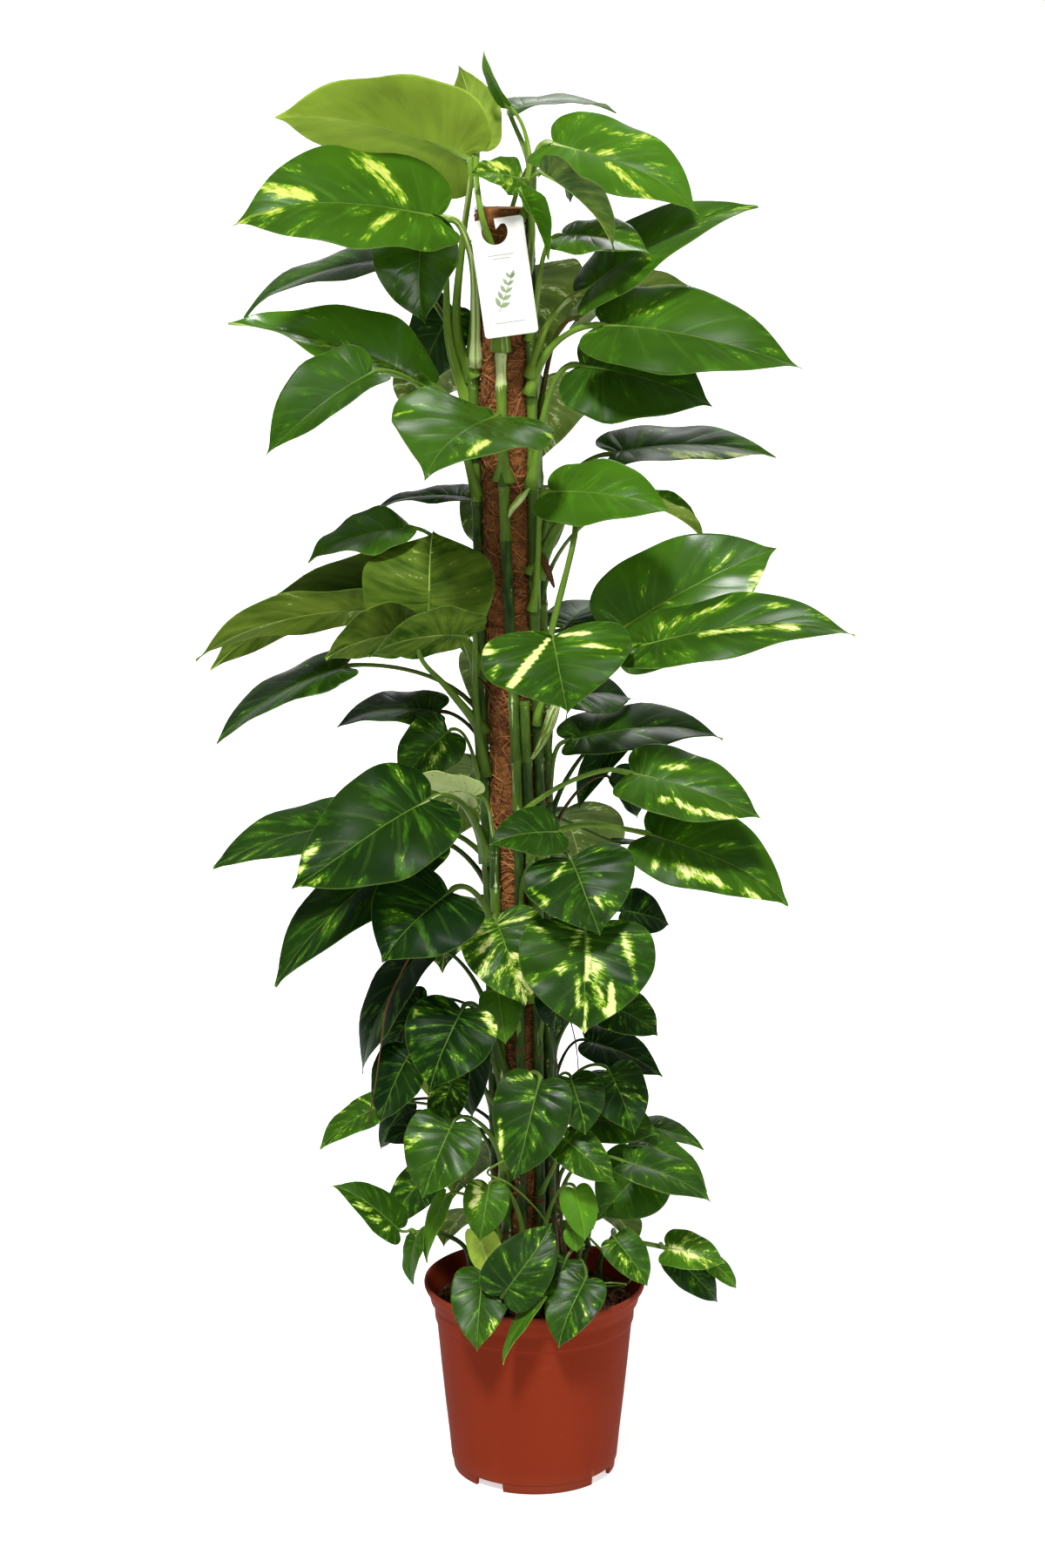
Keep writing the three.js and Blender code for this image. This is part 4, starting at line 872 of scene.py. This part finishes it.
def petiole_line(leaf):
    """The petiole's middle line from its foot in the stem to the heel, and on under the midrib."""
    neck = leaf.heel - leaf.along * (NECK_BACK * leaf.size) - leaf.up * (HEEL_DEPTH / 2 * leaf.size)
    if leaf.vias:
        line = smooth_line([leaf.foot, *map(sighted, leaf.vias), neck], 6)
    else:
        reach = (neck - leaf.foot).length
        level = neck - leaf.foot
        level.z = 0
        level.normalize()
        rise = leaf.foot + leaf.outward * (0.1 * reach)
        rise.z += PETIOLE_RISE * reach
        arrive = neck - leaf.along * 8 - level * (0.16 * reach)
        line = []
        for i in range(17):
            t = i / 16
            line.append(leaf.foot * (1 - t) ** 3 + rise * (3 * t * (1 - t) ** 2)
                        + arrive * (3 * t * t * (1 - t)) + neck * t ** 3)
    for u in (0.02, 0.07, 0.14, 0.24):
        line.append(leaf.point(u, 0, 0) - leaf.up * (0.7 * leaf.size * (1 - 2.4 * u)))
    return line


def add_petiole(body, leaf, sheath):
    """A petiole that thickens towards its foot, where its sheath makes it a channel."""
    line = petiole_line(leaf)
    neck = len(line) - 1 - PETIOLE_END
    high = clamp((leaf.heel.z - 1200) / 160)
    radii = []
    for i in range(len(line)):
        t = i / neck
        radius = leaf.size * (1.5 + 0.3 * high) * (1 + 0.85 * clamp(1 - t / 0.6) ** 1.3)
        if t < 0.12:
            radius *= 1 + 0.5 * (1 - t / 0.12)
        if t > 1:
            radius *= 1 - 0.2 * (i - neck)
        elif t > 0.88:
            radius *= 1.12
        radii.append(radius)
    marks = clamp(leaf.marks * 0.7 + leaf.luck.uniform(-0.1, 0.35)) + 0.55 * high
    # Petioles lower down and behind the pole are made darker: painted shade
    low = clamp(1.2 - leaf.heel.z / 750)
    tint = leaf.tint * 0.5 + 0.1 + 0.4 * high - 0.5 * low + leaf.luck.uniform(-0.2, 0.3)
    tint = clamp(tint - 0.5 * (leaf.heel.y > 0), -1, 1)
    looks = (marks, BROWN_PETIOLES.get(leaf.name, 0), tint)

    def values(i, k):
        return (i * 9, abs(k - 5) * 0.6, leaf.seed), looks

    def squash(i, angle):
        open_share = sheath * clamp(1 - i / neck / 0.62)
        return 1 + open_share * (0.55 * abs(cos(angle)) - 0.75 * max(sin(angle), 0) ** 2)

    add_tube(body, line, radii, PETIOLE_SIDES, values, -leaf.across, squash)


def vine_stem(angle, z):
    """The middle of a vine's stem, which leans in to the pole above the soil and then sways."""
    low = SOIL_LEVEL + STEM_COLLAR
    share = clamp((z - low) / (STEM_CLOSE_HEIGHT - low))
    close = COIR_RADIUS + STEM_RADIUS + STEM_TO_COIR
    sway = STEM_SWAY * sin(z / STEM_STEP + angle) if z > low else 0
    radius = STEM_FOOT_RADIUS + (close - STEM_FOOT_RADIUS) * share
    centre = around_pole(angle + sway, radius, max(z, SOIL_LEVEL))
    centre.z = z
    return centre


def add_stem(body, points, radius, seed, nodes_at, marks, base_age, white_from=inf):
    """A stem whose joints swell a little at the given places along it."""
    lengths = [0]
    for a, b in zip(points, points[1:]):
        lengths.append(lengths[-1] + (b - a).length)
    luck = random.Random(seed)
    shades = [luck.uniform(-1, 0.25) for _ in range(len(nodes_at) + 1)]
    radii = []
    rows = []
    for point, place in zip(points, lengths):
        away = min(abs(place - node) for node in nodes_at)
        swell = exp(-((away / 5) ** 2))
        radii.append(radius * (1 + 0.18 * swell))
        ring = exp(-((away / 1.6) ** 2))
        below = 1 - place / lengths[-1]
        # A stem is made darker towards its foot and below 1050 mm high: painted shade
        shade = shades[sum(node < place for node in nodes_at)] - 0.5 * below
        shade = max(shade - 0.35 * clamp((1050 - point.z) / 150), -0.8)
        white = clamp((place - white_from) / 8)
        age = base_age * below ** 2 + 0.34 * ring
        rows.append((marks + 0.45 * (swell - ring) + 1.1 * white, age, shade + white))
    radii[-1] *= 0.4

    def values(i, k):
        return (lengths[i], abs(k - STEM_SIDES / 2) * 0.55, seed), rows[i]

    add_tube(body, points, radii, STEM_SIDES, values)


def add_root(body, points, radius, seed, age=1):
    """A root or runner that thins out. One thicker than 3 mm is a sheath, flat and swollen."""
    sheath = radius > 3
    radii = []
    for i in range(len(points)):
        t = i / (len(points) - 1)
        if sheath:
            radii.append(radius * (0.35 + sin(pi * t ** 1.3)) / 1.35 + 0.2)
        else:
            radii.append(radius * (1 - 0.55 * t) * (1 + 0.12 * sin(i * 1.9 + seed)))
    looks = (1.1 if sheath else 0, max(age, 0), 0.3 if age >= 0 else 1)

    def values(i, k):
        return (i * 6, k * 0.5, seed), looks

    def squash(i, angle):
        return 1 - 0.5 * abs(sin(angle)) if sheath else 1

    add_tube(body, points, radii, 12 if sheath else 6, values, (1, 0, 0.4) if sheath else None, squash)


def clinging_root(angle, z, luck):
    """A short root that leaves a stem joint and lies round the coir."""
    way = luck.choice((-1, 1))
    span = luck.uniform(35, 95)
    rise = luck.uniform(-30, 12)
    points = []
    for i in range(9):
        t = i / 8
        radius = COIR_RADIUS + 3.2 - 1.6 * t + 0.8 * sin(5 * t + z)
        points.append(around_pole(angle + way * (6 + span * t), radius, z + rise * t + 3 * sin(4 * t + z)))
    return points


class Plant:
    """The stem and the leaves of one vine or shoot, which become two pieces."""

    def __init__(self, name):
        self.name = name
        self.luck = random.Random(name)
        self.leaves = Body("leaf_at", "leaf_is", "leaf_seed")
        self.stems = Body("stem_at", "stem_is")

    def grow(self, foot, outward, row, sheath):
        leaf = Leaf(foot, outward.normalized(), *row)
        add_blade(self.leaves, leaf)
        add_petiole(self.stems, leaf, sheath if leaf.width > 70 else min(sheath, 0.5))

    def build(self):
        self.leaves.build(self.name + "_leaves", LEAF, "plant", [self.name])
        self.stems.build(self.name + "_stems", STEM, "plant", [self.name])


def make_vine(name, angle, top, rows):
    plant = Plant(name)
    luck = plant.luck
    joints = [row[1] - 4 for row in rows]
    spare = SOIL_LEVEL + 40
    while spare < top:
        if all(abs(spare - joint) > 26 for joint in joints):
            joints.append(spare)
        spare += luck.uniform(46, 62)
    low = SOIL_LEVEL + STEM_COLLAR
    heights = {STEM_BOTTOM, top, *np.arange(low, top, 11.0)}
    near = [joint + step for joint in joints for step in (-7, -4, -2, -1, 0, 1, 2, 4, 7)]
    heights.update(level for level in near if low < level < top)
    points = [vine_stem(angle, z) for z in sorted(heights)]
    places = [joint - STEM_BOTTOM for joint in joints]
    seed = luck.uniform(0, 50)
    marks = luck.uniform(0, 0.45)
    add_stem(plant.stems, points, STEM_RADIUS, seed, places, marks, VINE_AGE, WHITE_FROM.get(name, inf))
    for joint in joints:
        if luck.random() < 0.7:
            root = clinging_root(angle, joint, luck)
            add_root(plant.stems, root, luck.uniform(0.8, 1.3), joint - STEM_BOTTOM)
    for radius, age, knots in LOOSE.get(name, []):
        add_root(plant.stems, smooth_line([sighted(knot) for knot in knots], 6), radius, len(knots), age)
    for row in rows:
        foot = vine_stem(angle, row[1])
        outward = foot - pole_axis(row[1])
        outward.z = 0
        plant.grow(foot, outward, row, 1)
    plant.build()


def make_shoot(name, foot, line, rows):
    plant = Plant(name)
    knots = [Vector((*foot, SOIL_LEVEL + STEM_COLLAR))] + [sighted(place) for place in line]
    points = [Vector((*foot, STEM_BOTTOM)), *smooth_line(knots, 8)]
    total = sum((b - a).length for a, b in zip(points, points[1:]))
    joints = [total * (0.25 + 0.75 * row[1]) for row in rows]
    seed = plant.luck.uniform(0, 50)
    add_stem(plant.stems, points, SHOOT_RADIUS, seed, joints, SHOOT_MARKS, SHOOT_AGE)
    for row in rows:
        onward = curve_through(knots, min(row[1] + 0.02, 1)) - curve_through(knots, row[1] - 0.02)
        plant.grow(curve_through(knots, row[1]), onward, row, 0.4)
    plant.build()


def make_coir():
    """A bumpy sleeve under a skin of short fibres, of which one in twenty strays outwards."""
    body = Body("fibre_is")
    levels = [*np.arange(COIR_BOTTOM, POLE_TOP - 3, 7.0), POLE_TOP - 3, POLE_TOP, POLE_TOP]
    shrink = {len(levels) - 2: 0.93, len(levels) - 1: 0.4}
    points = []
    for i, z in enumerate(levels):
        for k in range(COIR_SIDES):
            turn = 2 * pi * k / COIR_SIDES
            place = Vector((cos(turn) * 1.6, sin(turn) * 1.6, z / 17))
            bumpy = 1.3 * noise.noise(place) + 0.7 * noise.noise(place * 2.7)
            points.append(pole_axis(z) + spoke((COIR_RADIUS - 1.6 + bumpy) * shrink.get(i, 1), turn))
    body.add(points, turned_faces(len(levels), COIR_SIDES), [(0.36, 0, 0)] * len(points))
    luck = random.Random(FIBRE_SEED)
    for _ in range(FIBRES):
        turn = luck.uniform(0, 2 * pi)
        z = luck.uniform(SOIL_LEVEL - 4, POLE_TOP - 6)
        reach = luck.uniform(14, 46)
        slope = luck.gauss(0, 0.75)
        lift = luck.uniform(0, 1.7)
        stray = luck.random() < 0.05
        bow = luck.uniform(-0.35, 0.35)
        line = []
        for i in range(FIBRE_POINTS):
            t = i / (FIBRE_POINTS - 1)
            step = reach * (t - 0.5)
            level = min(z + step * sin(slope) + bow * reach * sin(pi * t), POLE_TOP + 1.5)
            radius = COIR_RADIUS - 1 + lift + 0.8 * sin(pi * t) + 7 * t * t * stray
            line.append(pole_axis(level) + spoke(radius, turn + step * cos(slope) / COIR_RADIUS))
        thick = luck.uniform(0.25, 0.7)
        tone = luck.uniform(0.1, 0.94)
        add_tube(body, line, [thick] * FIBRE_POINTS, 3, lambda i, k: ((tone, 1, 0),))
    body.build("pole_coir_fibres", coir_look(), "coir", ["pole_coir"])


def pot_profile():
    """From the middle of the underside, out over the foot, up the wall, and down the inside."""
    foot = FOOT_HEIGHT
    pad = CENTRE_PAD_RADIUS
    slope = pad + CENTRE_PAD_SLOPE
    base = BASE_RADIUS
    ring = base - FOOT_WIDTH
    step = SHOULDER_RADIUS
    ledge = SHOULDER_HEIGHT
    neck = NECK_RADIUS
    lip = LIP_HEIGHT
    rim = RIM_RADIUS
    top = POT_HEIGHT
    return [
        (6, 0), (pad - 1, 0), (pad, 0.5), (slope - 0.6, foot - 0.6), (slope, foot), (ring - 6, foot),
        (ring, foot - 0.6), (ring + 0.5, 0.5), (ring + 1, 0), (base - 1.2, 0), (base - 0.6, 0.5),
        (base + 0.3, foot - 1.4), (base + 0.5, foot - 0.6), (base + 1.5, foot), (base + 1.9, foot + 1.4),
        (base + 5, 45), (base + 9.2, 84), (base + 13.4, 127), (step - 0.6, ledge - 5),
        (step - 0.3, ledge - 1), (step + 0.1, ledge), (step + 1.3, ledge + 1), (step + 1.7, ledge + 2.4),
        (neck - 1.3, lip - 6), (neck - 0.9, lip - 0.8), (neck - 0.2, lip), (neck + 1.6, lip + 0.8),
        (neck + 3, lip + 2),
        (rim - 5.4, top - 14.6), (rim - 3.4, top - 11), (rim - 1.2, top - 7.6), (rim - 0.2, top - 5),
        (rim, top - 2.6), (rim - 0.4, top - 0.8), (rim - 1.4, top - 0.1), (rim - 2.6, top - 0.2),
        (rim - 3.6, top - 1.4), (rim - 5.6, top - 8), (neck + 1.2, lip + 7.4), (neck - POT_WALL, lip + 1),
        (neck - POT_WALL - 0.8, lip - 2), (step - POT_WALL + 0.8, ledge + 3), (step - POT_WALL, ledge),
        (base - POT_WALL + 0.8, foot + POT_WALL), (slope - POT_WALL, foot + POT_WALL),
        (pad - POT_WALL, CENTRE_PAD_THICK), (6, CENTRE_PAD_THICK),
    ]


def make_pot():
    """The turned pot, with notches in its foot ring and drain holes cut through its floor."""
    body = Body()
    half = degrees(asin(NOTCH_WIDTH / 2 / (BASE_RADIUS - 2)))
    centres = [FIRST_NOTCH_ANGLE + 360 / NOTCHES * i for i in range(NOTCHES)]
    edges = [centre + side * half + gap for centre in centres for side in (-1, 1) for gap in (-0.15, 0.15)]
    turns = sorted([*np.arange(0, 360, POT_TURN_STEP), *(edge % 360 for edge in edges)])
    profile = pot_profile()
    points = []
    for radius, z in profile:
        in_ring = BASE_RADIUS - FOOT_WIDTH - 1 < radius < BASE_RADIUS + 1 and z < FOOT_HEIGHT - 1
        for turn in turns:
            gap = min(abs((turn - centre + 180) % 360 - 180) for centre in centres)
            level = FOOT_HEIGHT - 1.5 if in_ring and gap < half else z
            points.append(Vector((radius * sin(radians(turn)), -radius * cos(radians(turn)), level)))
    body.add(points, turned_faces(len(profile), len(turns)))
    pot = body.build("pot_shell", pot_look(), "pot", ["pot"])
    cutters = []
    for i in range(DRAIN_HOLES):
        place = spoke((CENTRE_PAD_RADIUS + BASE_RADIUS) / 2, 2 * pi * (i + 0.5) / DRAIN_HOLES)
        place.z = FOOT_HEIGHT + POT_WALL / 2
        bpy.ops.mesh.primitive_cylinder_add(vertices=28, radius=DRAIN_RADIUS * MM, depth=12 * MM)
        cutters.append(bpy.context.active_object)
        cutters[-1].location = place * MM
        cut = pot.modifiers.new("drain", "BOOLEAN")
        cut.operation = "DIFFERENCE"
        cut.solver = "EXACT"
        cut.object = cutters[-1]
    bpy.context.view_layer.update()
    cut_mesh = bpy.data.meshes.new_from_object(pot.evaluated_get(bpy.context.evaluated_depsgraph_get()))
    pot.modifiers.clear()
    pot.data = cut_mesh
    for cutter in cutters:
        bpy.data.objects.remove(cutter)


def soil_height(x, y):
    place = Vector((x / 19, y / 19, 3.1))
    waves = 2.6 * noise.noise(place) + 1.5 * noise.noise(place * 3.1) + 0.8 * noise.noise(place * 8)
    return SOIL_LEVEL - 1 + waves


def twenty_sided():
    """The corners and faces of a ball of twenty triangles."""
    golden = (1 + sqrt(5)) / 2
    pairs = [(a, b * golden) for b in (1, -1) for a in (-1, 1)]
    corners = [(a, b, 0) for a, b in pairs] + [(0, a, b) for a, b in pairs] + [(b, 0, a) for a, b in pairs]
    faces = [
        (0, 11, 5), (0, 5, 1), (0, 1, 7), (0, 7, 10), (0, 10, 11), (1, 5, 9), (5, 11, 4),
        (11, 10, 2), (10, 7, 6), (7, 1, 8), (3, 9, 4), (3, 4, 2), (3, 2, 6), (3, 6, 8),
        (3, 8, 9), (4, 9, 5), (2, 4, 11), (6, 2, 10), (8, 6, 7), (9, 8, 1)]
    return [Vector(corner).normalized() for corner in corners], faces


def make_soil():
    """The soil's body, whose top is uneven, with crumbs strewn over it."""
    body = Body("crumb_is")
    edge = NECK_RADIUS - SOIL_GAP - 1
    rings = [(radius, None) for radius in (3, *np.arange(8, edge - 1, 3.2), edge)]
    floor = FOOT_HEIGHT + SOIL_GAP
    rings.append((SHOULDER_RADIUS - SOIL_GAP, SHOULDER_HEIGHT))
    rings += [(BASE_RADIUS - SOIL_GAP + 0.8, floor), (4, floor)]
    points = []
    for radius, level in rings:
        for k in range(SOIL_SIDES):
            place = spoke(radius, -2 * pi * k / SOIL_SIDES)
            place.z = soil_height(place.x, place.y) if level is None else level
            points.append(place)
    body.add(points, turned_faces(len(rings), SOIL_SIDES), [(0.3, 0, 0)] * len(points))
    luck = random.Random(CRUMB_SEED)
    corners, faces = twenty_sided()
    for _ in range(CRUMBS):
        radius = sqrt(luck.uniform(0, 1)) * CRUMB_REACH
        middle = spoke(radius, luck.uniform(0, 2 * pi))
        size = luck.uniform(0.9, 2.6) if luck.random() < 0.9 else luck.uniform(2.6, 5)
        stretch = (luck.uniform(0.7, 1.6), luck.uniform(0.7, 1.3), luck.uniform(0.5, 0.9))
        spin = Matrix.Rotation(luck.uniform(0, 6.28), 3, "Z")
        spin = spin @ Matrix.Rotation(luck.uniform(-0.6, 0.6), 3, "X")
        middle.z = soil_height(middle.x, middle.y) + size * 0.25
        if radius + size * 1.5 > edge:
            continue
        crumb = []
        for corner in corners:
            rough = 1 + luck.uniform(-0.22, 0.22)
            crumb.append(spin @ Vector([c * size * s * rough for c, s in zip(corner, stretch)]) + middle)
        body.add(crumb, faces, [(luck.uniform(0, 1) ** 2, 0, 0)] * len(crumb))
    body.build("soil_crumbs", soil_look(), "soil", ["soil"], smooth=False)


def arc(cx, cy, radius, start, end, steps):
    turns = [radians(start + (end - start) * i / steps) for i in range(steps + 1)]
    return [(cx + radius * cos(turn), cy + radius * sin(turn)) for turn in turns]


def tag_outline():
    """The card's edge, which goes in round the hook on its way along the top."""
    x = TAG_WIDTH / 2
    y = TAG_HEIGHT / 2
    in_x = x - TAG_CORNER
    in_y = y - TAG_CORNER
    hook = y - HOOK_DROP
    mouth = [(1.2, y), (0.9, y - 0.6), (1.5, hook + 2.4), (2.2, hook + 2.6), (7, hook + 7), (10.4, hook + 7),
             (11.4, hook + 6)]
    return [
        *arc(in_x, -in_y, TAG_CORNER, -90, 0, 6), *arc(in_x, in_y, TAG_CORNER, 0, 90, 6),
        *((HOOK_X + dx, place) for dx, place in mouth), *arc(HOOK_X, hook, HOOK_RADIUS, 20, -220, 40),
        (HOOK_X - HOOK_RADIUS, y), *arc(-in_x, in_y, TAG_CORNER, 90, 180, 6),
        *arc(-in_x, -in_y, TAG_CORNER, 180, 270, 6),
    ]


def leaflet(cx, cy, angle, length, width):
    """A pointed oval for the card's plain sprig."""
    shares = [i / 8 for i in range(8)]
    turn = radians(angle)
    places = []
    for t, side in [(t, 1) for t in shares] + [(1 - t, -1) for t in shares]:
        x = length * t
        y = side * width / 2 * sin(pi * t ** 0.8)
        places.append((cx + x * cos(turn) - y * sin(turn), cy + x * sin(turn) + y * cos(turn)))
    return places


def bar(x0, y0, x1, y1, width):
    size = hypot(x1 - x0, y1 - y0)
    nx = -(y1 - y0) / size * width / 2
    ny = (x1 - x0) / size * width / 2
    return [(x0 + nx, y0 + ny), (x0 - nx, y0 - ny), (x1 - nx, y1 - ny), (x1 + nx, y1 + ny)]


def tag_piece(name, material, low, high, outlines):
    """One piece of flat plates that lie on the leaning card between two heights above its back."""
    lean = Matrix.Rotation(radians(TAG_TURN), 4, "Y") @ Matrix.Rotation(radians(90 - TAG_LEAN), 4, "X")
    place = Matrix.Translation(TAG_PLACE) @ lean
    body = Body()
    for outline in outlines:
        points = [place @ Vector((x, y, z)) for z in (low, high) for x, y in outline]
        caps = turned_faces(2, len(outline))
        body.add(points, caps[-2:] + caps[:-2])
    return body.build(name, material, "tag", ["hang_tag"], smooth=False)


def make_tag():
    """The card, and its plain drawing: a twig with small leaves, and short dashes."""
    piece = tag_piece("hang_tag_card", CARD, 0, TAG_THICK, [tag_outline()])
    piece.data.materials.append(CARD_EDGE)
    for polygon in piece.data.polygons[2:]:
        polygon.material_index = 1
    sprig = [bar(-9, -34, 7, -2, 0.7)]
    for i in range(5):
        t = i / 4 * 0.86
        for angle in (108 + 4 * i, 16 + 5 * i):
            sprig.append(leaflet(16 * t - 7.6, 32 * t - 29, angle, 11 - i, 4.6 - 0.4 * i))
    sprig.append(leaflet(6.8, -2.4, 63, 9, 4))
    dashes = [bar(-reach, y, reach, y, 0.55) for y, reach in ((22, 13), (18.6, 9), (-45, 15))]
    tag_piece("hang_tag_sprig", PRINT, TAG_THICK - 0.1, TAG_THICK + INK, sprig)
    tag_piece("hang_tag_rules", RULES, TAG_THICK - 0.1, TAG_THICK + INK, dashes)


def make_floor():
    """A pale floor that glows a little, as one lit from above does, whitest behind the pot."""
    bpy.ops.mesh.primitive_plane_add(size=160, location=(0, 0, -0.0005))
    floor = bpy.context.active_object
    floor.name = "studio_floor"
    look = Look("studio_floor")
    x, y, _ = look.split(look.places())
    white = look.step(y, -2.4, -0.3) * (1 - look.step(y * -0.17 + abs(x), 0.62, 3))
    color = look.mix(white, (0.5, 0.5, 0.5, 1), (0.8, 0.8, 0.8, 1))
    floor.data.materials.append(look.finish(
        Base_Color=color, Roughness=0.9, Emission_Color=(1, 1, 1, 1), Emission_Strength=white * 0.5 + 0.1))


def make_world():
    """A white patch behind the plant, and a dim room that is lighter overhead."""
    look = Look("studio", bpy.data.worlds, "Background")
    _, y, z = look.split(look.places("Generated"))
    room = z.held() * 0.28 + 0.12
    patch = ((y - 0.85) * (1 / 0.11)).held()
    bpy.context.scene.world = look.finish(Color=(1, 1, 1, 1), Strength=room + (1 - room) * patch)


def place_in_scene(name, data):
    thing = bpy.data.objects.new(name, data)
    bpy.context.scene.collection.objects.link(thing)
    return thing


def add_sun(name, azimuth, elevation, strength, softness):
    data = bpy.data.lights.new(name, "SUN")
    data.energy = strength
    data.angle = radians(softness)
    place_in_scene(name, data).rotation_euler = facing(azimuth, elevation).to_track_quat("Z", "Y").to_euler()


def add_camera():
    data = bpy.data.cameras.new("camera")
    data.lens = CAMERA_LENS
    data.sensor_width = CAMERA_SENSOR
    camera = place_in_scene("camera", data)
    camera.location = EYE * MM
    camera.rotation_euler = (radians(CAMERA_TILT), 0, 0)
    bpy.context.scene.camera = camera


for vine in VINES:
    make_vine(*vine)
for shoot in SHOOTS:
    make_shoot(*shoot)
make_coir()
make_pot()
make_soil()
make_tag()
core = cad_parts["pole_core"]
core.data.materials.clear()
core.data.materials.append(plain_look("stake_wood", rgb(150, 120, 82), 0.6, 90, rgb(120, 92, 60)))

make_floor()
make_world()
for sun in SUNS:
    add_sun(*sun)
bpy.context.scene.view_settings.view_transform = "Standard"
add_camera()
